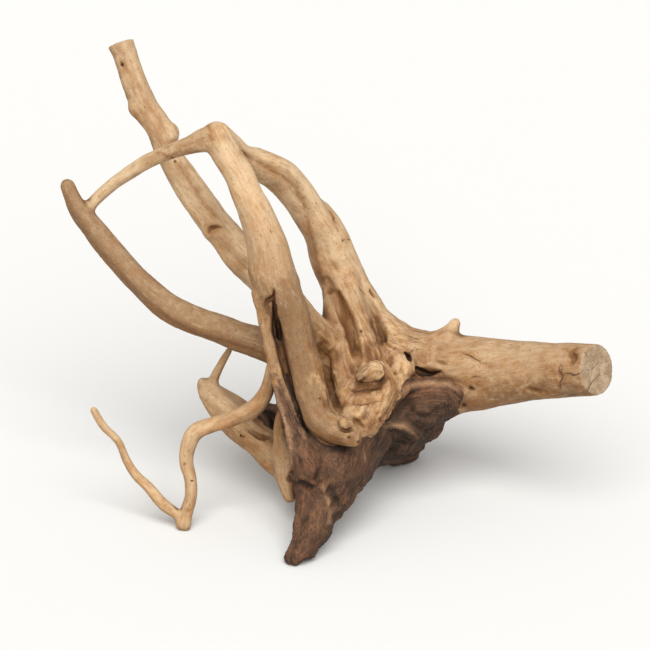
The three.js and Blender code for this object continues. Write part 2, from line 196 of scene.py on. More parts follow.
LIGHT_STRANDS = [
    Strand(LONG_ROOT, phase=0.4, grooves=[(0.5, 0.35, 0.1, 0)], warm=0.3, pale=0.9, sawn="start"),
    Strand(FRONT_ROOT, blend=3.0, phase=1.3, rough=0.8, warm=0.45, pale=0.6, aged=2.6, flutes=0.8),
    Strand(SPLIT_LIP, blend=2.0, phase=2.2, dark=0.55, warm=0.7, pale=0.1, tone=0.5, aged=0.5),
    # The split's floor is tinted dark brown as painted shade inside the split.
    Strand(SPLIT_FLOOR, blend=2.0, phase=2.9, dark=0.75, warm=0.4, pale=0.0, tone=0.8),
    Strand(ARCH_ROOT, phase=3.1, rough=0.9, grooves=[(-0.35, 0.3, 0.11, 0.0015)], warm=0.2, pale=1.0),
    Strand(ARCH_SHOULDER, blend=6.0, phase=3.3, warm=0.3, pale=0.9),
    Strand(LEFT_ROOT, phase=4.2, grooves=[(0.95, 0.3, 0.12, 0)], warm=0.25, pale=0.0, tone=1.5),
    Strand(THIN_ROOT, blend=4.0, phase=5.1, rough=1.7, warm=0.6, pale=0.4, tone=0.3),
    Strand(THIN_TIP, blend=3.0, phase=0.9, rough=1.6, warm=0.6, pale=0.4, tone=0.2),
    Strand(BACK_ROOT, phase=1.9, grooves=[(-0.7, 0.4, 0.16, 0)], warm=0.5, pale=0.3, tone=0.25, aged=0.2),
    Strand(BACK_FIN, blend=9.0, phase=2.6, warm=0.5, pale=0.3, tone=0.3),
    Strand(BACK_EDGE, blend=8.0, phase=3.0, warm=0.6, pale=0.2, tone=0.3),
    Strand(BACK_TWIG, blend=4.0, phase=3.7, warm=0.6, pale=0.3, tone=0.1, flutes=0.5),
    Strand(LOWER_SPUR, blend=9.0, phase=4.4, warm=0.6, pale=0.2, tone=0.3),
    Strand(TRUNK, blend=8.0, phase=5.6, rough=0.3, warm=0.5, pale=0.4, tone=0.65, aged=0.3, flutes=0.5,
           sawn="end"),
    Strand(TRUNK_STUB, blend=7.0, phase=0.2, warm=0.5, pale=0.4, tone=0.1),
    Strand(CROWN_LEFT_RIB, blend=6.0, phase=1.1, warm=0.55, pale=0.4, tone=0.1, aged=1.2),
    Strand(CROWN_MIDDLE_RIB, blend=5.0, phase=2.3, warm=0.55, pale=0.4, tone=0.1, aged=1.1),
    Strand(CROWN_RIGHT_RIB, blend=6.0, phase=3.4, warm=0.6, pale=0.4, tone=0.3, aged=1.1),
    Strand(KNOB, blend=3.0, phase=5.9, rough=0.5, warm=0.3, pale=0.8, flutes=0.5),
]


# The dark underside.
# The oldest wood, softened and stained by lying in the mud, folded and fibrous. It carries the toe
# and the heel, and the light wood overhangs it as a ledge.

DARK_SPINE = [
    (-20.3, -2.4, 7.2, 7.4), (-14.2, 2.5, 15.6, 10.2), (-9.2, 9.5, 27, 13.4), (-5.2, 16, 39, 15.3),
    (-0.2, 25, 53.4, 20.9), (6.5, 38, 68.6, 26), (15, 54, 88, 28), (27, 68, 108, 30), (38, 74, 124, 32),
]
DARK_KEEL = [
    (6, 40, 72, 20), (16, 58, 70.5, 16.8), (26, 84, 80, 15.8), (43, 116, 86, 14.8), (59, 149.5, 86, 15),
]
DARK_FLANK = [
    (44, 90, 112, 26), (56, 100, 101, 21), (64.4, 98, 99, 15.2), (78, 88, 112, 12), (92, 88, 121, 14),
]
DARK_LOBE = [
    (62, 66, 120, 15.5), (84, 62, 122, 12), (89.4, 64, 118.6, 10), (74, 64, 112, 12.6),
    (83, 80, 115, 11.5), (97, 64, 124.4, 6.5), (103.4, 66, 126.2, 3.6),
]
DARK_FOLD = [
    (50, 66, 104, 14), (63, 70, 100.6, 12), (57, 84, 92.6, 12.4),
]
DARK_WEB = [
    (-12, 20, 88, 8.5), (-9.5, 19, 73, 11), (2, 26, 80, 12),
]

DARK_STRANDS = [
    Strand(DARK_SPINE, phase=0.7, rough=0.8, grooves=[(0.75, 0.42, 0.13, 0), (-0.75, 0.42, 0.08, 0)],
           dark=1.0, flutes=1.6),
    Strand(DARK_KEEL, phase=1.6, rough=0.8, dark=1.0, flutes=1.6),
    Strand(DARK_FLANK, phase=2.8, rough=0.6, dark=1.0, flutes=1.6),
]


# The body.
# All strands and masses grown together: each one's distance is taken on a fine lattice, the
# distances are joined with soft fillets, and the skin is drawn where the joined distance is nought.

# The step of the lattice, how flat the skin must be for its faces to merge, how far out distances
# are kept, and the lattice's corners.
VOXEL = 1.35
FLATNESS = 0.011
REACH = 11.0
LATTICE_LOW = np.array([-214.0, -22.0, -4.0])
LATTICE_HIGH = np.array([224.0, 176.0, 408.0])
LATTICE_SHAPE = np.ceil((LATTICE_HIGH - LATTICE_LOW) / VOXEL).astype(int) + 1
LATTICE = [LATTICE_LOW[i] + VOXEL * np.arange(LATTICE_SHAPE[i], dtype=np.float32) for i in range(3)]


def block_of(low, high):
    """The lattice block that covers a box, as three slices."""
    first = np.clip(np.floor((low - LATTICE_LOW) / VOXEL).astype(int), 0, LATTICE_SHAPE)
    last = np.clip(np.ceil((high - LATTICE_LOW) / VOXEL).astype(int) + 1, 0, LATTICE_SHAPE)
    return tuple(slice(a, b) for a, b in zip(first, last))


def blank(block):
    """Distances for a block, all as far out as they are kept."""
    return np.full([s.stop - s.start for s in block], REACH, np.float32)


def relative(own, block):
    """A block's slices, counted from the start of the block that holds it."""
    return tuple(slice(o.start - s.start, o.stop - s.start) for o, s in zip(own, block))


def profile_distance(stations, stretch=1.0):
    """The distance outside a round profile carried along stations: for each straight step, the
    distance to the step less the radius there, and the least of these. A stretch above one
    draws the profile out in depth by that much."""
    reach = (stations[:, 3:] + REACH) * np.array([1.0, stretch, 1.0])
    block = block_of((stations[:, :3] - reach).min(0), (stations[:, :3] + reach).max(0))
    nearest = blank(block)
    for k in range(len(stations) - 1):
        a, b = stations[k], stations[k + 1]
        own = block_of(np.minimum(a[:3] - reach[k], b[:3] - reach[k + 1]),
                       np.maximum(a[:3] + reach[k], b[:3] + reach[k + 1]))
        x = LATTICE[0][own[0], None, None] - np.float32(a[0])
        y = (LATTICE[1][None, own[1], None] - np.float32(a[1])) / np.float32(stretch)
        z = LATTICE[2][None, None, own[2]] - np.float32(a[2])
        d = (b[:3] - a[:3]) / (1.0, stretch, 1.0)
        d32 = d.astype(np.float32)
        share = np.clip((x * d32[0] + y * d32[1] + z * d32[2]) / np.float32(max(d @ d, 1e-6)), 0, 1)
        gap = np.sqrt((x - share * d32[0]) ** 2 + (y - share * d32[1]) ** 2 + (z - share * d32[2]) ** 2)
        gap -= np.float32(a[3]) + share * np.float32(b[3] - a[3])
        inner = relative(own, block)
        np.minimum(nearest[inner], gap, out=nearest[inner])
    return block, nearest


def soft_least(a, b, width):
    """The lesser of two distances, with a fillet where they differ by less than the width."""
    near = np.clip(width - np.abs(a - b), 0, None) / width
    return np.minimum(a, b) - near * near * (width / 4)


def soft_most(a, b, width):
    """The greater of two distances, with the same fillet."""
    return -soft_least(-a, -b, width)


def sawn_flat(strand, block, distance):
    """Cuts a strand off square at its sawn end: the greater of its distance and the plane's."""
    at, facing = strand.saw_cut()
    plane = ((LATTICE[0][block[0], None, None] - at[0]) * facing[0]
             + (LATTICE[1][None, block[1], None] - at[1]) * facing[1]
             + (LATTICE[2][None, None, block[2]] - at[2]) * facing[2])
    return soft_most(distance, plane, 0.8)


body = np.full(LATTICE_SHAPE, REACH, np.float32)


def grow(block, distance, blend):
    """Joins one distance to the body's with a fillet of the given width."""
    body[block] = soft_least(body[block], distance, blend)


def carve(block, distance, blend):
    """Takes one distance away from the body's, with the same fillet."""
    body[block] = soft_most(body[block], -distance, blend)


def mass_distance(balls):
    """The distance outside a mass of wood: balls (x, y, z, radius) joined pair by pair, and the
    least of the distances to the pairs."""
    balls = np.array(balls, float)
    reach = balls[:, 3:] + REACH
    block = block_of((balls[:, :3] - reach).min(0), (balls[:, :3] + reach).max(0))
    mass = blank(block)
    for i in range(len(balls)):
        for k in range(i + 1, len(balls)):
            own, distance = profile_distance(balls[[i, k]])
            inner = relative(own, block)
            mass[inner] = np.minimum(mass[inner], distance)
    return block, mass


for balls, blend in ((CROWN_HEART, 10.0), (DARK_FOLD, 7.0), (DARK_WEB, 8.0), (FRONT_WEB, 8.0),
                     (BACK_WEB, 6.0)):
    grow(*mass_distance(balls), blend)
for strand in DARK_STRANDS + LIGHT_STRANDS:
    block, distance = profile_distance(strand.stations)
    if strand.sawn:
        distance = sawn_flat(strand, block, distance)
    grow(block, distance, strand.blend)
for balls, blend in ((DARK_LOBE, 3.5), (CROWN_LEDGE, 2.5)):
    grow(*mass_distance(balls), blend)

# Burls and shoulders: (x, y, z, radius, fillet).
for x, y, z, radius, blend in (
    (-118.6, 87, 321.5, 8.0, 5.0), (-142.5, 90, 340.6, 5.9, 5.0), (-5.2, 8, 24, 8.8, 6.0),
    (-24, -2, 6.4, 4.4, 5.0), (-13.8, -1, 10, 5.6, 7.0), (74, 92, 103.5, 13.2, 6.0),
    (-84, 71.5, 248, 7.4, 5.0), (15.6, 3, 103.2, 3.6, 1.6), (21.2, 2.5, 93.2, 5.0, 2.0),
):
    ball = np.array([(x, y, z, radius), (x + 0.5, y, z, radius)])
    grow(*profile_distance(ball), blend)


def front_at(x, z):
    """The depth of the body's front surface at (x, z), taken at the nearest lattice column."""
    i = np.clip(np.rint((x - LATTICE_LOW[0]) / VOXEL).astype(int), 0, LATTICE_SHAPE[0] - 1)
    k = np.clip(np.rint((z - LATTICE_LOW[2]) / VOXEL).astype(int), 0, LATTICE_SHAPE[2] - 1)
    return front[i, k]


# In each column the front lies where the distance first falls to nought, between two points.
inside = body < 0
first = np.maximum(inside.argmax(1), 1)[:, None]
beyond, within = np.take_along_axis(body, first - 1, 1), np.take_along_axis(body, first, 1)
front = (first - 1 + beyond / np.maximum(beyond - within, 1e-3))[:, 0]
front = LATTICE_LOW[1] + VOXEL * np.where(inside.any(1), front, LATTICE_SHAPE[1])

# Ridges, lids and rims raised on the front, then valleys, creases and holes cut into it. Each
# has a stretch in depth, a fillet, and a line of (x, z, radius, how far its centre is sunk).
RAISED = {
    "crown shelf": (1.0, 4.0, [
        (44.4, 157.4, 11, 9), (52.6, 149.2, 9.5, 8), (59.4, 144.7, 7, 5), (64.7, 142.4, 3.6, 2)]),
    "knob": (1.0, 4.5, [
        (26.6, 136.8, 2.6, 0.8), (31.1, 139.6, 3.8, 0.6), (36.8, 142.2, 4.4, 0.8),
        (40.4, 144.2, 3.8, 1.4)]),
    "eye lid": (1.0, 2.0, [
        (73.1, 146.5, 1.6, 0.6), (79.1, 146.5, 2.2, 0.4), (84.4, 145, 2.2, 0.4),
        (88.9, 142.4, 1.6, 0.8)]),
    "step edge": (1.0, 3.0, [
        (-27, 65.5, 1.2, 0.6), (-20, 63.2, 1.6, 0.8), (-12.6, 60.4, 1.6, 0.8), (-5.9, 57.4, 1.4, 1.0)]),
    "stump bump": (1.0, 1.2, [(14.0, 103.6, 3.5, 0.6), (15.4, 102.2, 3.5, 0.5)]),
    "lobe crest": (1.0, 4.0, [
        (57.7, 126, 3, 1), (63.1, 130.1, 3.6, 0.6), (69.1, 132.7, 3.6, 0.6), (78.9, 132.7, 3.4, 0.8),
        (90.9, 131.2, 3, 1), (100.1, 128.1, 2.6, 1)]),
    "toe ridge": (1.0, 4.0, [
        (-1.5, 56.1, 2, 0.8), (2.2, 48, 2.6, 0.4), (4.4, 39.1, 2.6, 0.4), (3.7, 30.1, 2, 0.8)]),
    "lip left rim": (1.0, 1.5, [
        (-40.1, 141.3, 0.8, 0.4), (-37.9, 132.4, 1, 0.3), (-32.7, 113.8, 1, 0.3), (-28.6, 99.7, 1, 0.3),
        (-24.6, 85.7, 0.9, 0.4), (-25.3, 72.9, 0.8, 0.5)]),
    "lip right rim": (1.0, 1.5, [
        (-34.2, 148.8, 0.8, 0.4), (-31.4, 133.9, 1, 0.3), (-23.8, 116.7, 1.1, 0.2),
        (-18.2, 104.1, 1.1, 0.3), (-15.6, 93.1, 0.9, 0.5)]),
}
CUT = {
    "valley left": (1.0, 3.5, [
        (-0.8, 209.5, 2.5, -1.5), (3.8, 204.2, 3.2, -1.2), (9.8, 194.3, 3.6, -0.8),
        (14.3, 185.3, 3.8, -0.6), (18.8, 176.2, 3.8, -0.6), (21.8, 166.5, 3.4, -1),
        (22.5, 157.5, 2.8, -1.6)]),
    "valley right": (1.0, 3.5, [
        (34.8, 195.9, 2, -1), (37.8, 187.6, 3, -1), (40.8, 178.5, 3.8, -0.8), (42.3, 170.2, 3.4, -1),
        (39.1, 161.2, 2.6, -1.4)]),
    "valley beside the front root": (1.0, 3.5, [
        (-2.2, 161.3, 2.4, -1.2), (0.7, 144, 3.4, -0.8), (4.5, 127.5, 3.4, -0.8),
        (9.7, 114.3, 2.8, -1.2)]),
    "under the knob": (1.0, 1.6, [
        (23.4, 134.4, 0.9, -0.3), (28.6, 133.0, 1.2, -0.2), (34.2, 133.6, 1.2, -0.2),
        (40.6, 136.8, 0.8, -0.3)]),
    "crease high": (1.4, 1.2, [
        (17, 129.2, 0.5, 0), (24.7, 127.3, 0.8, 0.1), (29.9, 127.7, 0.9, 0.2), (35.1, 128.8, 0.7, 0.1),
        (41.4, 130.4, 0.4, 0)]),
    "crease low": (1.4, 1.2, [
        (20, 117.4, 0.5, 0), (28.3, 116.9, 0.7, 0.1), (33.6, 118.3, 0.7, 0.1), (41.6, 119.4, 0.4, 0)]),
    "black hole": (3.0, 0.8, [(59.9, 155.5, 0.7, 0.5), (61.9, 152.5, 1.9, 2.5), (62.1, 150.3, 1.1, 1.5)]),
    "eye": (2.2, 1.6, [
        (68.6, 142.7, 1.8, 1.6), (74.1, 140.4, 2.3, 2.6), (79.4, 139.6, 2.0, 2.2),
        (83.9, 140.6, 1.3, 1.0), (87.4, 141.6, 0.8, 0.2)]),
    "eye crease": (1.2, 1.0, [(83.7, 149.5, 0.8, 0), (87.4, 148.4, 1.2, 0.2), (90.4, 146.9, 0.9, 0)]),
    "split top": (2.6, 0.8, [
        (-37.8, 203, 0.8, 0.5), (-38, 197, 1.5, 1.4), (-37.2, 189, 2.1, 2.2), (-35.6, 178, 2.4, 2.6),
        (-33.6, 167, 2.4, 3)]),
    "lip top": (1.6, 1.0, [(-44.5, 190.6, 1.2, 0.2), (-42.4, 194.6, 1.8, 0.8), (-39.2, 196.8, 1.8, 1.2)]),
    "lip face": (1.0, 2.0, [
        (-43.6, 189.4, 2.4, -1.2), (-42.8, 180, 3, -2.0), (-40.1, 168.8, 3.4, -2.4),
        (-36.8, 150.3, 3.6, -2.8), (-34.6, 131.7, 4, -3.2), (-29, 114.6, 4.6, -3.6),
        (-23.8, 99.7, 5, -3.8), (-20, 86.5, 4.4, -3.6)]),
    "under the step": (1.0, 1.6, [(-26.4, 61.4, 1.5, 0.3), (-23.5, 60.2, 1.2, -0.3)]),
    "beside the bump": (1.0, 1.0, [
        (11.4, 99.4, 0.9, 0.2), (15.2, 98.2, 1.2, 0.4), (19.4, 99.2, 1.2, 0.4)]),
    "lobe trough": (1.0, 4.0, [
        (78, 122.6, 3.6, -2.6), (68.5, 122.5, 4.2, -1.2), (62.6, 116.6, 4.6, 0), (58.4, 110.2, 4.4, -0.6),
        (52.5, 103.5, 4, -1.8)]),
    "lobe fold": (1.0, 3.0, [(68, 108.5, 3, -1.6), (76, 107.4, 3.2, -1.6), (85, 110.6, 3, -1.8)]),
    "beside the stump": (1.0, 2.0, [
        (20.5, 106.5, 2, -0.6), (23.4, 103.6, 2.6, -0.6), (27, 100.4, 2.4, -0.8)]),
    "hole by the lobe": (1.4, 1.2, [(108.6, 129.6, 1.2, 0.2), (110.6, 128.4, 1.4, 0.2)]),
    "hole under the trunk": (1.2, 1.4, [(103.5, 117, 1.2, 0), (106, 116, 1.3, 0)]),
    "lobe pit": (1.2, 1.0, [(61.2, 117, 1.5, 0.5), (62.6, 114, 1.7, 0.9), (65, 111.8, 1.3, 0.4)]),
    "under the ledge": (1.0, 4.0, [
        (45.7, 99, 4, -2.6), (51.1, 94.4, 4.6, -2.2), (57.2, 89.7, 4.4, -2.6), (63.3, 86.6, 3.4, -2.8)]),
    "toe trough": (1.0, 4.0, [(9.6, 56, 5, -3.8), (6.7, 48.6, 5.4, -3.4), (8.9, 41.2, 5, -3.8)]),
    "back recess": (1.8, 3.0, [
        (-46, 110.2, 2, 0.4), (-42.6, 109, 3.4, 1.2), (-40, 106.4, 3.8, 1.6), (-38.4, 102, 3, 1.2)]),
    "back groove": (1.0, 1.4, [
        (-60, 99, 1.2, 0), (-54, 95.5, 1.8, 0.5), (-48.2, 92, 2.2, 0.9), (-42, 91.5, 1.8, 0.4)]),
    "crescent in the knot": (1.0, 0.8, [
        (-88.1, 246.3, 1.1, 0.3), (-87.3, 249.3, 1.4, 0.6), (-82.8, 250.8, 1.5, 0.7),
        (-78.3, 250, 1.0, 0.2)]),
    "chips by the saw cut": (1.0, 0.8, [
        (185.8, 160, 2.0, -0.6), (182.4, 156, 2.4, -0.7), (184.8, 151.5, 2.2, -0.6),
        (181.6, 147, 1.8, -0.6)]),
    "crack by the saw cut": (1.4, 0.6, [
        (176, 146, 0.8, 0.1), (174.6, 139.5, 1.0, 0.4), (175.6, 133.6, 0.9, 0.2), (174, 127.6, 0.7, 0)]),
    "chip below the saw cut": (1.0, 1.0, [
        (150.5, 127.8, 1.6, -0.5), (156, 127, 2.2, -0.6), (162, 127.2, 1.6, -0.5)]),
    "hole in the sawn end": (2.0, 0.6, [(-153.9, 373.3, 1.1, 0.6), (-153.6, 373.3, 1.1, 0.6)]),
    "hole in the stump": (2.0, 0.6, [(17.2, 93.6, 0.8, 0.6), (17.5, 93.6, 0.8, 0.6)]),
    "hole in the stump tip": (2.0, 0.6, [(24.2, 90.2, 0.9, 0.6), (24.4, 90.2, 0.9, 0.6)]),
    "hole in the back root": (2.0, 0.6, [(-63.6, 93, 1.0, 0.4), (-63.2, 93, 1.0, 0.4)]),
}
for forms, change in ((RAISED, grow), (CUT, carve)):
    for stretch, blend, line in forms.values():
        line = [(x, front_at(x, z) + sunk, z, radius) for x, z, radius, sunk in line]
        change(*profile_distance(smooth_line(line, step=1.5), stretch), blend)

# The split between the front root and its lip, a line of (x, y, z, radius).
SPLIT = [
    (-35.6, 0, 181.4, 2), (-34.2, 3, 172.5, 2.2), (-31.2, 8, 156.2, 2.3), (-27.9, 11, 142, 2.2),
    (-24.4, 14, 130.8, 2), (-21.6, 16, 122, 1.7), (-18, 17, 108.5, 1.5), (-14.6, 17, 99.4, 1.0),
    (-13, 16, 96, 0.7),
]
carve(*profile_distance(smooth_line(SPLIT), stretch=3.2), blend=1.0)

lattice = openvdb.FloatGrid(REACH)
lattice.copyFromArray(body)
corners, triangles, quads = lattice.convertToPolygons(isovalue=0.0, adaptivity=FLATNESS)
triangles = np.concatenate([triangles, quads[:, :3], quads[:, [0, 2, 3]]]).astype(int)
skin = LATTICE_LOW + VOXEL * corners.astype(float)


def blended(values, cell, share):
    """Values on a lattice that repeats, blended from the eight corners of a cell by the share of
    the way across it."""
    total = 0.0
    for corner in np.ndindex(2, 2, 2):
        weight = np.prod(np.where(corner, share, 1 - share), axis=1)
        total = total + weight * values[tuple(((cell + corner) % values.shape).T)]
    return total


def body_at(points):
    """The body's distance at any points, blended between the lattice points."""
    place = (points - LATTICE_LOW) / VOXEL
    cell = np.clip(np.floor(place).astype(int), 0, LATTICE_SHAPE - 2)
    return blended(body, cell, np.clip(place - cell, 0, 1))


def outward(points):
    """The direction out of the body: the slope of its distance, one lattice step each way."""
    slope = np.stack([body_at(points + VOXEL * axis) - body_at(points - VOXEL * axis)
                      for axis in np.eye(3)], axis=1)
    return slope / np.maximum(np.linalg.norm(slope, axis=1, keepdims=True), 1e-6)


normals = outward(skin)


# The weathering.
# Waves, flutes and fibres run along each strand, and the knots, cracks and worm holes lie where the
# wood shows them. Relief is a shift along the skin's direction out, in millimetres.


def lattice_noise(points, seed):
    """Smooth noise from -1 to 1: random numbers on a unit lattice, blended by a smooth step."""
    table = np.random.default_rng(seed).uniform(-1, 1, (32, 32, 32))
    cell = np.floor(points).astype(int)
    t = points - cell
    return blended(table, cell, t * t * (3 - 2 * t))


def rough_noise(points, seed, layers):
    """Noise in layers, each twice as fine and half as strong as the one before."""
    return sum(lattice_noise(points * 2.0**n, seed + n) / 2.0**n for n in range(layers))


def smooth_step(low, high, value):
    """0 below low, 1 above high, and a smooth step between."""
    t = np.clip((value - low) / (high - low), 0, 1)
    return t * t * (3 - 2 * t)


def bell(distance, width):
    """1 where the distance is nought, falling off on both sides as a bell of that width."""
    return np.exp(-((distance / width) ** 2))


def fullness(share, end, power):
    """How full a line is at a share of its length: the sine of half a turn from end to end, held
    back from nought near both ends and raised to a power."""
    return np.sin(np.pi * np.clip(share, end, 1 - end)) ** power


# Each wave is (lobes round the strand, turns in a millimetre, size, shift by the strand's phase).
# Then the turn of the grain in a millimetre, how far round a strand its relief and traits reach,
# how soon they give way to those of a nearer strand, and where the pith lies off a saw cut's middle.
WAVES = [(2, 0.013, 0.04, 1.7), (3, -0.019, 0.03, 2.7), (1, 0.031, 0.02, 3.7)]
SPIRAL = 0.006
STRAND_REACH = 9.0
GIVE_WAY = 1.1
PITH = (4.0, -3.0)


def strand_relief(strand, along, a, b, radius):
    """The strand's own relief: its waves and grooves by angle, flutes and fibres by noise drawn
    out along it."""
    angle = np.arctan2(b, a)
    share = sum(
        size * np.sin(lobes * angle + turns * 2 * np.pi * along + strand.phase * shift)
        for lobes, turns, size, shift in WAVES
    ) * strand.rough
    fade = fullness(along / strand.length, 0, 0.35)
    for at, width, depth, twist in strand.grooves:
        aside = angle - at - twist * along
        off = np.arctan2(np.sin(aside), np.cos(aside))
        share = share - depth * fade * bell(off, width)
    seed = int(strand.phase * 10)
    flute = rough_noise(np.stack([along / 42, a / 7.5, b / 7.5], 1), seed, 2)
    fibre = rough_noise(np.stack([along / 24, a / 2.6, b / 2.6], 1), seed + 5, 2)
    depth = np.clip(0.05 * radius, 0.16, 0.75) * strand.flutes
    return share * radius + depth * flute + 0.3 * depth * fibre


def strand_share(strand, points):
    """For points near a strand: which they are, how far outside it they lie, their distance along
    it, and their place across it along the normal and the side."""
    low = (strand.at - strand.radius[:, None] - STRAND_REACH).min(0)
    high = (strand.at + strand.radius[:, None] + STRAND_REACH).max(0)
    near = np.flatnonzero(np.all((points > low) & (points < high), axis=1))
    own = points[near]
    square = ((own**2).sum(1)[:, None] - 2 * own @ strand.at.T + (strand.at**2).sum(1)) ** 0.5
    k = np.argmin(square - strand.radius, axis=1)
    off = own - strand.at[k]
    ahead = (off * strand.tangent[k]).sum(1)
    a = (off * strand.normal[k]).sum(1)
    b = (off * strand.side[k]).sum(1)
    over = np.maximum(np.abs(ahead) - 3.0, 0)
    gap = np.sqrt(a * a + b * b + over * over) - strand.radius[k]
    keep = gap < STRAND_REACH
    return near[keep], gap[keep], (strand.along[k] + ahead)[keep], a[keep], b[keep], strand.radius[k][keep]


def strand_grain(number, along, a, b):
    """The place in the grain: along the strand, and across it twice, with a slow spiral and a
    shift of its own for each strand."""
    turn = SPIRAL * along
    return np.stack([along + 131.0 * number, a * np.cos(turn) - b * np.sin(turn) + 17.0 * number,
                     a * np.sin(turn) + b * np.cos(turn)], 1)


ALL_STRANDS = DARK_STRANDS + LIGHT_STRANDS + [
    Strand(CROWN_HEART, phase=6.1, warm=0.55, pale=0.3, tone=0.3, aged=0.7, flutes=1.2),
    Strand(CROWN_LEDGE, phase=6.8, warm=0.5, pale=0.55, tone=0.2, aged=0.7, flutes=1.2),
    Strand(FRONT_WEB, phase=7.0, warm=0.5, pale=0.5, tone=0.2, aged=0.8),
    # The web in the back recess is tinted dark and brown as painted shade of the recess.
    Strand(BACK_WEB, phase=7.2, dark=0.7, warm=0.8, pale=0.0, tone=1.0),
    Strand(DARK_LOBE[:3], phase=7.7, dark=1.0, flutes=1.5),
    Strand(DARK_FOLD, phase=8.3, dark=1.0, flutes=1.5),
    Strand(DARK_WEB, phase=8.9, dark=1.0, flutes=1.5),
]
shares = [strand_share(strand, skin) for strand in ALL_STRANDS]
least_gap = np.full(len(skin), 1e3)
for near, gap, *_ in shares:
    least_gap[near] = np.minimum(least_gap[near], gap)

total = np.full(len(skin), 1e-9)
relief = np.zeros(len(skin))
traits = {name: np.zeros(len(skin)) for name in ("dark", "warm", "pale", "tone", "aged")}
best = np.zeros(len(skin))
grain = np.zeros((len(skin), 3))
face = np.zeros((len(skin), 3))
nearest_strand = np.zeros(len(skin), int)
sawn = np.zeros(len(skin))
for number, (strand, (near, gap, along, a, b, radius)) in enumerate(zip(ALL_STRANDS, shares)):
    weight = np.exp(-(gap - least_gap[near]) / GIVE_WAY)
    total[near] += weight
    relief[near] += weight * strand_relief(strand, along, a, b, radius)
    for name, values in traits.items():
        values[near] += weight * strand.traits[name]
    claim = weight * (1 + 0.5 * lattice_noise(skin[near] / 4.0, 61))
    won = claim > best[near]
    best[near] = np.where(won, claim, best[near])
    grain[near[won]] = strand_grain(number, along, a, b)[won]
    nearest_strand[near[won]] = number
    if strand.sawn:
        face[near] = np.stack([a - PITH[0], b - PITH[1], 0 * a], 1)
        middle, out = strand.saw_cut()
        level = smooth_step(-1.6, -0.5, (skin[near] - middle) @ out)
        sawn[near] = np.maximum(sawn[near], level * smooth_step(0.6, 0.85, normals[near] @ out))
for values in (relief, *traits.values()):
    values /= total
dark, warm, pale, tone, aged = traits.values()
relief *= 1 - sawn

# The lip of the split darkens down its length, and the light wood of the back root does not.
x, y, z = skin.T
near_lip = shares[len(DARK_STRANDS) + 2][0]  # the lip is the third of the light strands
dark[near_lip] *= 0.55 + 0.75 * smooth_step(150, 112, z[near_lip])
dark *= 1 - smooth_step(0.0, 0.6, normals[:, 1]) * smooth_step(165, 200, z) * smooth_step(0, -10, x)
dark = np.clip(dark, 0, 1)

# On the front, the edge of the ledge parts the light wood from the dark: a line of (x, z).
LEDGE_EDGE = np.array([
    (32, 97.5), (39.8, 97.5), (42.2, 102), (43.6, 110), (44.8, 117), (48.8, 122.5), (52.6, 127.6),
    (56.4, 131.4), (61, 135.6), (67.6, 140.6), (71.4, 139.4), (76.4, 138.4), (84.8, 137.8),
    (91.4, 136.2), (98, 134), (103, 131), (106.6, 126.8), (108, 122),
])
edge_z = np.interp(x, LEDGE_EDGE[:, 0], LEDGE_EDGE[:, 1])
above = smooth_step(-1.2, 1.2, z - edge_z + 0.9 * rough_noise(skin / 3.0, 55, 2))
in_reach = (x > 32) & (x < 118) & (z < 175) & (y < 110)
dark = np.where(in_reach, dark * (1 - above), dark)

# The light wood is browner by each strand's tone and aged tint, more so lower down towards the crown,
# and darker on its undersides as painted shade; what faces up is lightened in the finish as a painted
# highlight. Up leans towards the viewer in the front view, by the lean in degrees.
LEAN = 25.0
UP = np.array([0.0, -np.sin(np.radians(LEAN)), np.cos(np.radians(LEAN))])
age_and_underside_shade = tone + aged * smooth_step(290, 140, z + 0.3 * np.abs(x + 10))
# Painted shade: the undersides are made browner.
age_and_underside_shade += 0.4 * smooth_step(0.3, -0.7, normals @ UP)
age_and_underside_shade += 0.6 * smooth_step(285, 320, z) * smooth_step(-75, -95, x)
# Rust on the toe, and over the lobe's crest a reddish painted highlight.
rust_and_crest_highlight = smooth_step(88, 70, z) * (0.4 + 0.6 * smooth_step(30, 55, z)) * smooth_step(14, 4, np.abs(x + 14))
rust_and_crest_highlight += 0.9 * np.exp(-(((x - 70) / 22) ** 2) - ((z - 127) / 9) ** 2)
warm = np.where(dark > 0.5, rust_and_crest_highlight, warm)
age_and_underside_shade = np.clip(age_and_underside_shade, 0, 2)
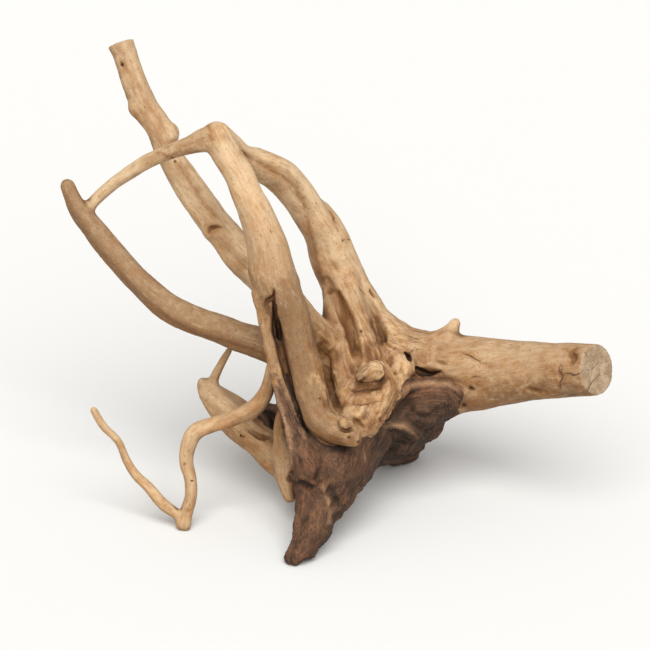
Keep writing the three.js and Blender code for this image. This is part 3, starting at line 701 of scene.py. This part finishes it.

# Marks on the front surface: (width, depth cut in, share of stain, a line of (x, z)). Down the valley
# beside the front root the stain is painted shade as well.
MARKS = [
    (1.7, 0.4, 0.7, [
        (-153.8, 375.5), (-147, 364.9), (-141.7, 355.8), (-136.4, 347.5), (-131.1, 340.7),
        (-125.8, 333.1), (-121.2, 316.4), (-117.5, 308.9)]),
    (1.9, 0.5, 0.8, [(-112.7, 299.5), (-105.1, 289.7), (-97.6, 279.1), (-90, 267), (-83.2, 258.7)]),
    (2.4, 0.3, 0.5, [(-77.7, 240.3), (-69.4, 231.3), (-61.8, 220.7)]),
    (1.6, 0.4, 0.7, [(-124.9, 315.5), (-118.9, 314), (-112.8, 316.3)]),
    (1.2, 0.4, 0.85, [(-88.1, 246.3), (-87.3, 249.3), (-82.8, 250.8), (-78.3, 250)]),
    (1.3, 0.35, 1.0, [(-86.2, 323.4), (-85.1, 319.7), (-84.7, 314.5)]),
    (1.1, 0.7, 0.9, [(-125.9, 305.1), (-120.7, 303.6), (-116.9, 301.4), (-113.2, 302.9), (-108, 306.6)]),
    (1.6, 0.4, 0.5, [(-110.7, 307.8), (-100.3, 310.7), (-90.6, 313.7)]),
    (2.2, 1.0, 0.7, [
        (-61.3, 304.5), (-48.9, 297.3), (-39.1, 290.8), (-30.8, 287.5), (-20.3, 278.2), (-15.9, 268.7),
        (-13.8, 255.2), (-10.5, 239.4), (-6.4, 223.6), (-2.3, 207.8)]),
    (1.0, 0.8, 1.0, [(4.5, 262.6), (8.3, 254.3)]),
    (1.1, 0.9, 1.0, [(34.1, 202.8), (36.4, 198.2)]),
    (2.4, 0.8, 0.5, [(-135.3, 189.8), (-112.7, 176.2), (-90.2, 167.2), (-67.6, 160.5), (-45.1, 153.7)]),
    (1.1, 0.45, 0.8, [(20.2, 126.9), (27.7, 129.1), (35.2, 127.6), (44.1, 130.6)]),
    (1.1, 0.4, 0.8, [(14.9, 118), (24.7, 119.4), (35.1, 120.2), (43.4, 121.7)]),
    (2.4, 1.2, 0.8, [(37.6, 181.5), (40.6, 174), (43.6, 168), (47.4, 163.5)]),
    (2.4, 1.2, 0.8, [(9.8, 201.1), (13.5, 189), (15.8, 176.2), (18.8, 166.5), (23.3, 158.2)]),
    (1.4, 0.5, 0.5, [(84.8, 170.2), (93.1, 172.5), (103, 168.7)]),
    (0.9, 0.6, 0.9, [(94.6, 155.8), (104.4, 155.8), (109.7, 153.6), (115.7, 149.8), (122.5, 146)]),
    (0.9, 0.5, 0.7, [(109.6, 137.7), (117.1, 137), (123.2, 135.5)]),
    (1.3, 0.45, 0.4, [(72.5, 161.2), (73.2, 155.1), (72.5, 149.8)]),
    (1.3, 0.45, 0.4, [(77.7, 161.9), (79.3, 155.1), (78.5, 149.1)]),
    (1.3, 0.45, 0.4, [(83.8, 162.7), (85.3, 155.9), (84.5, 149.8)]),
    (1.3, 0.4, 0.4, [(89.9, 159.6), (91.4, 153.6), (91.4, 148.3)]),
    (3.2, 1.8, 0.4, [(41.9, 105.9), (47.1, 99.2), (53.1, 91.7), (59.9, 86.5)]),
    (2.4, 1.0, 0.4, [(59.9, 123.8), (65.2, 127.6), (71.1, 129.1)]),
    (1.6, 0.6, 0.4, [(68.8, 109.7), (74.1, 107.4), (80.1, 108.9)]),
    (1.2, 0.5, 0.5, [(-47.6, 95.4), (-45.3, 89.4)]),
    (1.6, 1.6, 0.5, [
        (-26, 63.8), (-20.8, 61.6), (-15.6, 59.3), (-11.1, 57.1), (-5.9, 57.9), (-3.7, 61.6)]),
    (3.0, 1.6, 0.3, [(4.5, 57), (8.2, 49), (12.6, 42)]),
    (1.3, 0.7, 0.4, [(-18.5, 31.6), (-14.1, 36.8), (-9.6, 40.5)]),
    (4.0, 0.0, 0.85, [(-74, 104), (-62, 108), (-51, 117), (-45, 131)]),
    (3.5, 0.0, 0.8, [(-71, 96), (-62, 91), (-53, 84)]),
    (3.0, 0.0, 0.8, [(-47, 70), (-41, 62), (-37, 52)]),
    (2.5, 0.1, 0.7, [(-33.5, 110), (-34.5, 96), (-36, 82)]),
    (2.6, 0.7, 0.6, [(187.5, 161), (186, 155), (188, 149)]),
    (2.4, 0.6, 0.6, [(163, 147), (170, 141), (178, 139)]),
    (2.2, 0.6, 0.7, [(153, 129.5), (161, 126.5), (169, 126.5)]),
    (3.0, 0.3, 0.6, [(106, 119), (118, 114.5), (131, 111), (145, 109.5)]),
    # Painted shade with stain down the valley beside the front root.
    (3.2, 0.2, 0.8, [(1.5, 165), (4.5, 150), (7, 136), (10, 121)]),
    (1.0, 0.5, 0.8, [(71, 153.5), (70.2, 148.5), (70.8, 145)]),
    (1.0, 0.5, 0.8, [(75.6, 152.5), (74.4, 148.6), (75, 146.6)]),
    (3.0, 0.1, 0.7, [(104, 139), (110, 133), (118, 131)]),
]
# Where the viewer sees the skin, and then, over all the skin, the stain with its painted shade, the
# depth cut in, the distance from the nearest check (far off at first), and the check's width there.
facing = smooth_step(-0.05, 0.35, -normals[:, 1]) * smooth_step(7.0, 3.0, y - front_at(x, z))
stain_and_shade = np.zeros(len(skin))
carved = np.zeros(len(skin))
crack_off = np.full(len(skin), 9.0)
crack_width = np.zeros(len(skin))


def line_distance(line, along_x, along_z):
    """The distance from points to a line of (x, z), below nought on one side of it, and the share
    of its length passed there."""
    line = np.array(line, float)
    steps = np.linalg.norm(np.diff(line, axis=0), axis=1)
    passed = np.concatenate([[0], np.cumsum(steps)])
    distance = np.full(len(along_x), 1e3)
    share = np.zeros(len(along_x))
    for a, b, start, length in zip(line, line[1:], passed, steps):
        d = (b - a) / length
        t = np.clip((along_x - a[0]) * d[0] + (along_z - a[1]) * d[1], 0, length)
        off_x, off_z = along_x - a[0] - t * d[0], along_z - a[1] - t * d[1]
        gap = np.hypot(off_x, off_z) * np.where(d[0] * off_z < d[1] * off_x, -1, 1)
        closer = np.abs(gap) < np.abs(distance)
        distance = np.where(closer, gap, distance)
        share = np.where(closer, (start + t) / passed[-1], share)
    return distance, share


wander = 0.9 * rough_noise(skin / 5.0, 71, 2)
for width, cut, tint, line in MARKS:
    distance, share = line_distance(line, x + wander, z)
    carved += cut * facing * bell(distance, width * (0.4 + 0.6 * fullness(share, 0.04, 0.5)))
    stain_and_shade = np.maximum(stain_and_shade, tint * facing * bell(distance, 1.7 * width))

# Fine dark checks where the wood has dried and split: lines of (x, z). At its middle a check is
# dark this far to either side.
CHECK_WIDTH = 0.3
CHECKS = [
    [(101.5, 156.6), (105, 154.8), (109.7, 153.6), (115.7, 149.8), (120.6, 147.8)],
    [(109.6, 137.7), (114.5, 137.6), (120.2, 136.6)],
    [(72, 164.5), (66.5, 167.5), (61.5, 169.4)],
    [(33.6, 204.5), (35, 200.8), (36.8, 198)],
    [(24.5, 206.5), (28.4, 201.5), (31.5, 199.5)],
    [(4.5, 262.6), (6.2, 258.6), (8.6, 253.8)],
    [(16.4, 241.6), (19.4, 240.6)], [(13.6, 239.9), (15.4, 242)],
    [(17, 129.4), (24.7, 127.3), (29.9, 127.9), (35.1, 128.8), (41.4, 130.4)],
    [(20, 117.6), (28.3, 116.9), (33.6, 118.3), (41.6, 119.4)],
    [(175.6, 148), (173.6, 143), (176, 138), (174.4, 133), (176.2, 128)],
    [(176, 139.6), (181, 141), (186.4, 139.8), (190.4, 141.4)],
    [(179.6, 123.4), (188, 124.6), (196.4, 127.4)],
    [(192.7, 144.6), (197.3, 142.4), (204.7, 146.5), (213.7, 151.1)],
    [(197.3, 142.4), (198.8, 135.3), (196.4, 128.8), (193.6, 127.1)],
    [(201, 150.2), (201.8, 146.8)], [(184.3, 138.3), (189.9, 140.9), (192.7, 144.6)],
    [(62.5, 155.8), (66.2, 157.6), (68.4, 161)], [(50.5, 158.5), (54.6, 161.4)],
    [(40.4, 172.5), (42.3, 166), (42.7, 160.4)],
    [(20.4, 172), (22.4, 163.4), (21.6, 156.4)],
]
for line in CHECKS:
    distance, share = line_distance(line, x + 0.8 * wander, z + 0.5 * wander)
    closer = (np.abs(distance) < np.abs(crack_off)) & (facing > 0.2)
    crack_off = np.where(closer, distance, crack_off)
    crack_width = np.where(closer, CHECK_WIDTH * fullness(share, 0, 0.6), crack_width)
crack_width = np.where(np.abs(crack_off) < 4, crack_width, 0)
carved += 0.35 * (crack_width > 0.1) * np.exp(-(crack_off**2))


def seen_line(name):
    """The line of a raised form as the viewer sees it, (x, z)."""
    return [(px, pz) for px, pz, radius, sunk in RAISED[name][2]]


# Rims of pale fibre on the lip, the toe, the lobe and the ledge, and two loose threads: (width, line).
RIMS = [
    (1.7, seen_line("lip left rim") + [(-26.5, 65)]),
    (1.7, [(-38, 165)] + seen_line("lip right rim")),
    (1.7, seen_line("toe ridge")),
    (1.7, seen_line("lobe crest")),
    (1.7, [(46, 99.5), (53, 101.5), (60, 100.4), (66, 96)]),
    (0.55, [(29.6, 83.9), (30.6, 78.6), (30.4, 73.6)]),
    (0.5, [(27.5, 92.6), (34, 97.6), (43, 101.6), (52, 104)]),
]
rim = np.zeros(len(skin))
for width, line in RIMS:
    distance, share = line_distance(line, x + wander * (width > 1), z)
    rim = np.maximum(rim, facing * bell(distance, width) * fullness(share, 0.08, 0.5))

# Knots: (x, z, radius, how high its ring stands, how deep its heart is).
KNOTS = [
    (181.0, 158.0, 3.0, 0.3, 0.4), (186.6, 155.0, 3.4, 0.3, 0.6), (183.6, 149.0, 2.6, 0.3, 0.5),
    (172.0, 134.0, 3.0, 0.2, 0.4), (158.0, 127.4, 3.0, 0.1, 0.3), (164.6, 126.4, 2.6, 0.1, 0.4),
    (150.0, 128.0, 2.4, 0.0, 0.3), (168.6, 143.0, 2.2, 0.1, 0.3), (-83.0, 248.0, 6.4, 0.9, 0.3),
    (3.8, 202.0, 4.2, 0.7, 1.2), (-102.7, 37.6, 3.4, 0.5, 0.4), (13.6, 239.9, 2.2, 0.2, 1.2),
    (27.1, 171.7, 1.6, 0.1, 1.2), (-113.6, 300.4, 1.8, 0.1, 1.3), (-104.8, 72.9, 1.3, 0.0, 0.9),
    (-99.6, 60.2, 1.2, 0.0, 0.8), (109.2, 128.8, 2.4, 0.1, 0.7), (-3.7, 122.1, 1.3, 0.0, 0.6),
    (-170.2, 273.8, 1.2, 0.0, 0.6), (-161.2, 273.0, 1.2, 0.0, 0.5),
]
for at_x, at_z, ring, high, deep in KNOTS:
    distance = np.hypot(x - at_x, (z - at_z) * 1.25)
    relief += high * facing * bell(distance - ring, 0.35 * ring)
    carved += deep * facing * bell(distance, 0.5 * ring)
    stain_and_shade = np.maximum(stain_and_shade, 0.9 * facing * bell(distance, 0.8 * ring))

# Worm holes and rot spots, painted dark inside as rot and as shade in the holes: (x, z, radius).
SPOTS = [
    (-61.2, 92.6, 0.8), (-153.8, 373.3, 1.3), (-113.6, 300.4, 1.3), (17.3, 93.6, 1.0), (24.3, 90.2, 1.2),
    (-3.7, 122.1, 1.0), (-63.4, 93, 1.2), (27.1, 171.7, 1.0), (109.8, 129.2, 1.8), (104.8, 116.6, 2.2),
    (-104.8, 72.9, 0.9), (-99.6, 60.2, 0.8), (97, 126, 1.0), (113.6, 131.4, 0.8),
]
spot = np.zeros(len(skin))
for at_x, at_z, radius in SPOTS:
    spot = np.maximum(spot, facing * np.exp(-((((x - at_x) ** 2 + (z - at_z) ** 2) / radius**2) ** 1.5)))

# The knotted crown is lumpy and wrinkled all over, and the dark wood is folded in facets.
crown = np.exp(-((np.hypot((x - 32) / 46, (z - 140) / 52)) ** 4)) * (1 - dark)
lumps = rough_noise(skin / 9.0, 31, 3)
wrinkles = 1 - 2 * np.abs(rough_noise(grain / [16.0, 4.2, 4.2], 41, 2))
facets = 1 - 2 * np.abs(rough_noise(skin / 17.0, 47, 3))
grit = rough_noise(skin / 3.6, 53, 2)
detail = (
    crown * (0.8 * lumps + 0.8 * wrinkles + 0.25 * grit)
    + dark * (0.6 * lumps + 1.3 * facets + 0.5 * wrinkles)
    + (1 - crown) * (1 - dark) * (0.16 * lumps + 0.14 * wrinkles)
) * (1 - sawn)
relief += detail
share = detail / (0.45 + 0.55 * crown + 1.1 * dark)
# Painted shade with stain in the relief's creases, and a painted highlight on its ridges.
crease = smooth_step(0.15, -1.1, share) * (1 - sawn)
ridge = smooth_step(0.1, 1.1, share) * (1 - sawn)
# Stain and painted shade in the hollows: a fold is darkest where most of the body lies close in front
# of the skin, 4 and 10 mm out, and the worm holes and rot spots are painted dark inside.
fold = (
    0.55 * np.clip(1 - body_at(skin + normals * 4.0) / 4.0, 0, 1)
    + 0.45 * np.clip(1 - body_at(skin + normals * 10.0) / 10.0, 0, 1)
)
fold = np.clip(np.maximum(fold + 0.25 * carved, 0.95 * spot), 0, 1)
skin = skin + normals * (relief - carved)[:, None]


# The move, in millimetres, that centres the tipped wood and brings its low points to the floor.
SET_DOWN = np.array([-7.7, -125.9, -0.4])


def set_down(points):
    """Front-view millimetres to metres on the floor: tipped back by the lean, then moved."""
    lean = np.radians(LEAN)
    px, py, pz = np.moveaxis(np.asarray(points, float), -1, 0)
    tipped = np.stack([px, py * np.cos(lean) + pz * np.sin(lean), pz * np.cos(lean) - py * np.sin(lean)], -1)
    return (tipped + SET_DOWN) / 1000


placed = set_down(skin)
placed[:, 2] = np.maximum(placed[:, 2], 0.0)

wood_mesh = bpy.data.meshes.new("driftwood_wood")
wood_mesh.from_pydata(placed, [], triangles)
wood_mesh.validate()
wood_mesh.polygons.foreach_set("use_smooth", np.ones(len(triangles), bool))
for name, values in dict(
    dark=dark, warm=warm, pale=pale, stain_and_shade=stain_and_shade, fold=fold, sawn=sawn, age_and_underside_shade=age_and_underside_shade, crease=crease, rim=rim,
    crown=crown, ridge=ridge, crack_off=crack_off, crack_width=crack_width,
    # Painted highlight: how far the skin faces up.
    top_highlight=smooth_step(-0.2, 0.9, normals @ UP),
).items():
    layer = wood_mesh.attributes.new(name, "FLOAT", "POINT")
    layer.data.foreach_set("value", values.astype(np.float32))
layer = wood_mesh.attributes.new("face", "FLOAT_VECTOR", "POINT")
layer.data.foreach_set("vector", face.astype(np.float32).ravel())
# Each face takes its grain from the one strand that is nearest to its first corner, so that no
# face lies across two strands' grain.
face_strand = nearest_strand[triangles[:, 0]]
corner_grain = np.zeros((len(triangles), 3, 3), np.float32)
for number, (near, _, along, a, b, _) in enumerate(shares):
    own_grain = np.zeros((len(skin), 3), np.float32)
    own_grain[near] = strand_grain(number, along, a, b)
    faces = np.flatnonzero(face_strand == number)
    corner_grain[faces] = own_grain[triangles[faces]]
layer = wood_mesh.attributes.new("grain", "FLOAT_VECTOR", "CORNER")
layer.data.foreach_set("vector", corner_grain.ravel())


def put_in_scene(name, data):
    """A new object in the scene that holds the given data."""
    thing = bpy.data.objects.new(name, data)
    bpy.context.scene.collection.objects.link(thing)
    return thing


wood = put_in_scene("driftwood_wood", wood_mesh)


# The finish.
# Matte, water-worn wood: pale tan with cream ridges, orange stain in the grooves, brown stain and painted
# shade in the hollows, painted highlights on what faces up, a grey sawn face with rings and checks, and
# purple-brown old wood underneath.


def colour(red, green, blue):
    """An sRGB colour given from 0 to 255, as the linear colour that a shader takes."""
    value = np.array([red, green, blue]) / 255
    linear = np.where(value <= 0.04045, value / 12.92, ((value + 0.055) / 1.055) ** 2.4)
    return (*linear.tolist(), 1.0)


def fibre_group():
    """A group that puts out noise drawn out along the grain: coarse streaks, short flecks and fine
    fibres, and masks of small pores and checks. Its vector is the place in the strand: along it,
    then across it twice."""
    group = bpy.data.node_groups.new("Wood fibre", "ShaderNodeTree")
    group.interface.new_socket("Grain", in_out="INPUT", socket_type="NodeSocketVector")
    # (name, length and width of its cells, detail, roughness, the limits of a mask)
    layers = (
        ("Streak", 75.0, 4.0, 4.0, 0.6, None),
        ("Fleck", 13.0, 2.6, 5.0, 0.7, None),
        ("Fibre", 20.0, 0.7, 3.0, 0.65, None),
        ("Pores", 3.2, 1.1, 1.0, 0.4, (0.70, 0.78)),
        ("Checks", 17.0, 0.75, 2.0, 0.55, (0.66, 0.74)),
    )
    for name, *_ in layers:
        group.interface.new_socket(name, in_out="OUTPUT", socket_type="NodeSocketFloat")
    nodes, links = group.nodes, group.links
    entry, leave = nodes.new("NodeGroupInput"), nodes.new("NodeGroupOutput")
    for name, length, width, detail, rough, limits in layers:
        stretch = nodes.new("ShaderNodeVectorMath")
        stretch.operation = "DIVIDE"
        stretch.inputs[1].default_value = (length, width, width)
        links.new(entry.outputs["Grain"], stretch.inputs[0])
        noise = nodes.new("ShaderNodeTexNoise")
        for label, number in (("Scale", 1.0), ("Detail", detail), ("Roughness", rough)):
            noise.inputs[label].default_value = number
        links.new(stretch.outputs[0], noise.inputs["Vector"])
        value = noise.outputs["Fac"]
        if limits:
            mask = nodes.new("ShaderNodeMapRange")
            mask.interpolation_type = "SMOOTHSTEP"
            mask.inputs["From Min"].default_value, mask.inputs["From Max"].default_value = limits
            links.new(value, mask.inputs["Value"])
            value = mask.outputs[0]
        links.new(value, leave.inputs[name])
    return group


class Finish:
    """A material's node tree, with short calls that add a node and join it."""

    def __init__(self, name):
        self.material = bpy.data.materials.new(name)
        self.material.use_nodes = True
        self.nodes, self.links = self.material.node_tree.nodes, self.material.node_tree.links
        self.shader = self.nodes["Principled BSDF"]

    def put(self, value, socket):
        """Sets a socket to a value, or joins it to another node's output."""
        if isinstance(value, bpy.types.NodeSocket):
            self.links.new(value, socket)
        else:
            socket.default_value = value

    def attribute(self, name, output="Fac"):
        """The value that the mesh carries under a name."""
        node = self.nodes.new("ShaderNodeAttribute")
        node.attribute_name = name
        return node.outputs[output]

    def mix(self, share, first, second):
        """The first colour turned into the second by a share."""
        node = self.nodes.new("ShaderNodeMix")
        node.data_type = "RGBA"
        self.put(share, node.inputs["Factor"])
        self.put(first, node.inputs[6])
        self.put(second, node.inputs[7])
        return node.outputs[2]

    def over(self, base, *layers):
        """A colour with others laid over it in turn, each given by its share and its sRGB values."""
        for share, shade in layers:
            base = self.mix(share, base, colour(*shade))
        return base

    def math(self, operation, first, second=None, third=None):
        """A number worked out from one to three others."""
        node = self.nodes.new("ShaderNodeMath")
        node.operation = operation
        node.use_clamp = operation == "ADD"
        for value, socket in zip((first, second, third), node.inputs):
            if value is not None:
                self.put(value, socket)
        return node.outputs[0]

    def times(self, first, second):
        """The product of two numbers."""
        return self.math("MULTIPLY", first, second)

    def step(self, value, low, high, to_low=0.0, to_high=1.0):
        """A smooth step of a value between two limits."""
        node = self.nodes.new("ShaderNodeMapRange")
        node.interpolation_type = "SMOOTHSTEP"
        self.put(value, node.inputs["Value"])
        for name, number in (("From Min", low), ("From Max", high), ("To Min", to_low), ("To Max", to_high)):
            node.inputs[name].default_value = number
        return node.outputs[0]

    def vector(self, operation, value, output):
        """A vector's length or its direction."""
        node = self.nodes.new("ShaderNodeVectorMath")
        node.operation = operation
        self.links.new(value, node.inputs[0])
        return node.outputs[output]

    def noise(self, scale, detail, rough=0.55, vector=None):
        """Noise by the place in the object, or by another vector."""
        node = self.nodes.new("ShaderNodeTexNoise")
        for name, number in (("Scale", scale), ("Detail", detail), ("Roughness", rough)):
            node.inputs[name].default_value = number
        self.links.new(vector or self.place, node.inputs["Vector"])
        return node.outputs["Fac"]


finish = Finish("weathered_wood")
finish.place = finish.nodes.new("ShaderNodeTexCoord").outputs["Object"]
fibre = finish.nodes.new("ShaderNodeGroup")
fibre.node_tree = fibre_group()
finish.links.new(finish.attribute("grain", "Vector"), fibre.inputs["Grain"])
streak, fleck, fine, pores, checks = (
    fibre.outputs[name] for name in ("Streak", "Fleck", "Fibre", "Pores", "Checks")
)
dark_in, warm_in, pale_in, stain_and_shade_in, hollow_stain_and_shade_in, sawn_in = (
    finish.attribute(name) for name in ("dark", "warm", "pale", "stain_and_shade", "fold", "sawn")
)
age_and_underside_shade_in, crease_in, rim_in, crown_in, ridge_in, top_highlight_in = (
    finish.attribute(name) for name in ("age_and_underside_shade", "crease", "rim", "crown", "ridge", "top_highlight")
)
blotch = finish.noise(38.0, 4.0)
mottle = finish.noise(150.0, 3.0)
ragged = finish.noise(95.0, 6.0, 0.72)
speck = finish.noise(520.0, 4.0, 0.7)

step, times = finish.step, finish.times

# The light wood: pale and orange patches, age with painted shade on the undersides, a painted highlight
# on what faces up, fibres, stain and painted shade in the creases, stains with painted shade down one
# valley, flecks, the crown's crumbs with painted shade in their creases and a painted highlight on their
# ridges, specks, stain and painted shade in the hollows, pores and checks.
tan = finish.over(
    finish.mix(step(streak, 0.34, 0.68), colour(160, 123, 82), colour(186, 154, 115)),
    (times(pale_in, step(blotch, 0.3, 0.6, 0.1, 1.0)), (204, 175, 138)),
    (times(warm_in, step(blotch, 0.36, 0.62, 0.6, 0.0)), (176, 122, 66)),
    (times(age_and_underside_shade_in, step(mottle, 0.3, 0.7, 0.35, 1.0)), (126, 90, 55)),
    # painted highlight on what faces up
    (times(top_highlight_in, step(mottle, 0.35, 0.6, 0.05, 0.45)), (204, 176, 140)),
    (step(age_and_underside_shade_in, 0.9, 2.0, 0.0, 0.5), (112, 87, 60)),
    (step(fine, 0.56, 0.74, 0.0, 0.5), (120, 84, 50)),
    # stain and painted shade in the creases
    (times(crease_in, step(mottle, 0.3, 0.65, 0.5, 0.9)), (116, 73, 32)),
    # stains, and painted shade down one valley
    (times(stain_and_shade_in, step(mottle, 0.3, 0.6, 0.5, 0.9)), (136, 90, 44)),
    (step(fleck, 0.5, 0.7, 0.0, 0.5), (142, 96, 54)),
    (times(step(fleck, 0.48, 0.3, 0.0, 0.34), step(age_and_underside_shade_in, 1.0, 2.0, 1.0, 0.35)), (212, 184, 148)),
    (times(crown_in, step(fleck, 0.42, 0.6, 0.12, 0.8)), (134, 86, 42)),
    # painted shade in the crown's creases, then a painted highlight on its ridges
    (times(times(crown_in, crease_in), step(ragged, 0.3, 0.6, 0.6, 1.0)), (92, 56, 27)),
    (times(times(crown_in, ridge_in), step(ragged, 0.6, 0.4, 0.2, 0.8)), (208, 172, 124)),
    (step(speck, 0.55, 0.72, 0.0, 0.4), (118, 80, 46)),
    (step(speck, 0.45, 0.30, 0.0, 0.14), (222, 196, 160)),
    # stain and painted shade in the hollows, near black in the deepest
    (step(hollow_stain_and_shade_in, 0.12, 0.6, 0.0, 0.9), (98, 61, 27)),
    (step(hollow_stain_and_shade_in, 0.55, 0.95, 0.0, 0.92), (42, 27, 16)),
    (times(pores, 0.65), (88, 58, 34)),
    (times(checks, step(blotch, 0.4, 0.62, 0.0, 0.7)), (80, 50, 28)),
)

# The dark wood: flecks, rust with a reddish painted highlight over the lobe's crest, damp patches, a
# painted highlight on what faces up, fibres dark and pale, specks, painted shade in the creases and the
# hollows, and the pale rims.
old = finish.over(
    finish.mix(step(streak, 0.38, 0.62), colour(42, 29, 19), colour(84, 58, 38)),
    (step(fleck, 0.42, 0.68, 0.0, 0.5), (100, 67, 44)),
    # rust, and a reddish painted highlight over the lobe's crest
    (times(warm_in, step(streak, 0.4, 0.62, 0.1, 0.7)), (136, 84, 54)),
    (step(blotch, 0.54, 0.36, 0.0, 0.55), (40, 28, 19)),
    # painted highlight on what faces up
    (times(top_highlight_in, step(ragged, 0.36, 0.64, 0.1, 0.65)), (118, 82, 57)),
    (step(fine, 0.52, 0.66, 0.0, 0.75), (36, 25, 17)),
    (step(fine, 0.44, 0.3, 0.0, 0.55), (136, 100, 73)),
    (step(speck, 0.52, 0.7, 0.0, 0.4), (38, 26, 18)),
    # painted shade in the creases
    (times(crease_in, 0.8), (42, 29, 20)),
    # painted shade in the hollows
    (step(hollow_stain_and_shade_in, 0.15, 0.7, 0.0, 0.9), (32, 21, 14)),
    (times(rim_in, step(speck, 0.3, 0.6, 0.95, 0.5)), (166, 128, 94)),
)
edge = finish.math("ADD", dark_in, step(mottle, 0.3, 0.7, -0.15, 0.15))
wood_colour = finish.mix(step(edge, 0.35, 0.62), tan, old)

# The sawn faces: growth rings by the sine of the distance from the pith, and rays out from it.
across = finish.vector("LENGTH", finish.attribute("face", "Vector"), "Value")
spoke = finish.vector("NORMALIZE", finish.attribute("face", "Vector"), "Vector")
ring = finish.math("SINE", finish.math("MULTIPLY_ADD", mottle, 5.0, times(across, 3.1)))
radial = finish.noise(3.4, 1.0, 0.5, spoke)
face_colour = finish.over(
    finish.mix(step(ragged, 0.38, 0.62), colour(146, 122, 94), colour(180, 156, 126)),
    (step(ring, 0.1, 0.9, 0.0, 0.16), (122, 96, 70)),
    (step(radial, 0.66, 0.72, 0.0, 0.7), (96, 72, 50)),
    (step(speck, 0.56, 0.7, 0.0, 0.5), (104, 80, 58)),
)
wood_colour = finish.mix(sawn_in, wood_colour, face_colour)

# The fine checks: dark where the distance from one is less than its width there.
crack_gap = finish.math("ABSOLUTE", finish.attribute("crack_off"))
crack_gap = finish.math("SUBTRACT", finish.attribute("crack_width"), crack_gap)
crack_in = times(step(crack_gap, -0.25, 0.1), step(fleck, 0.3, 0.6, 0.25, 0.9))
wood_colour = finish.mix(crack_in, wood_colour, colour(46, 29, 18))
finish.links.new(wood_colour, finish.shader.inputs["Base Color"])
rough = finish.math("MULTIPLY_ADD", streak, 0.2, step(dark_in, 0.3, 0.7, 0.58, 0.68))
finish.links.new(rough, finish.shader.inputs["Roughness"])
finish.shader.inputs["Specular IOR Level"].default_value = 0.28

height = finish.math("MULTIPLY_ADD", fine, 0.6, times(streak, 0.5))
height = finish.math("SUBTRACT", height, times(pores, 0.35))
height = finish.math("MULTIPLY_ADD", fleck, 0.6, finish.math("MULTIPLY_ADD", ragged, 0.4, height))
height = finish.math("MULTIPLY_ADD", speck, 0.35, height)
bump = finish.nodes.new("ShaderNodeBump")
bump.inputs["Strength"].default_value = 0.8
bump.inputs["Distance"].default_value = 0.0009
finish.links.new(height, bump.inputs["Height"])
finish.links.new(bump.outputs["Normal"], finish.shader.inputs["Normal"])
wood_mesh.materials.append(finish.material)

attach(wood, "root")
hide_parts("driftwood")


# The floor, the light and the camera.
# A plain pale floor under a white sky, one broad soft sun from above the viewer, and a long lens
# that looks down by the lean, as the photograph was taken.

FLOOR_HALF = 6.0
floor_mesh = bpy.data.meshes.new("floor")
floor_corners = [(i * FLOOR_HALF, k * FLOOR_HALF, 0) for i, k in ((-1, -1), (1, -1), (1, 1), (-1, 1))]
floor_mesh.from_pydata(floor_corners, [], [(0, 1, 2, 3)])
floor = put_in_scene("floor", floor_mesh)
floor_finish = Finish("pale_floor")
floor_finish.shader.inputs["Base Color"].default_value = colour(212, 211, 208)
floor_finish.shader.inputs["Roughness"].default_value = 0.9
floor_mesh.materials.append(floor_finish.material)

world = bpy.data.worlds.new("studio")
world.use_nodes = True
world.node_tree.nodes["Background"].inputs["Color"].default_value = (1.0, 1.0, 1.0, 1.0)
world.node_tree.nodes["Background"].inputs["Strength"].default_value = 0.55
bpy.context.scene.world = world
bpy.context.scene.view_settings.view_transform = "Standard"

key = bpy.data.lights.new("key", "SUN")
key.energy, key.angle = 3.85, np.radians(60.0)
put_in_scene("key", key).rotation_euler = (np.radians(38.0), np.radians(2.0), 0.0)

# The point that the camera looks at, and how far it stands off, in front-view millimetres.
AIM_X, AIM_Y, AIM_Z = -0.2, 50.0, 176.65
STAND_OFF = 4062.0
camera_data = bpy.data.cameras.new("camera")
camera_data.lens, camera_data.sensor_width = 300.0, 36.0
camera = put_in_scene("camera", camera_data)
camera.location = set_down((AIM_X, AIM_Y - STAND_OFF, AIM_Z)).tolist()
camera.rotation_euler = (np.radians(90.0 - LEAN), 0.0, 0.0)
bpy.context.scene.camera = camera
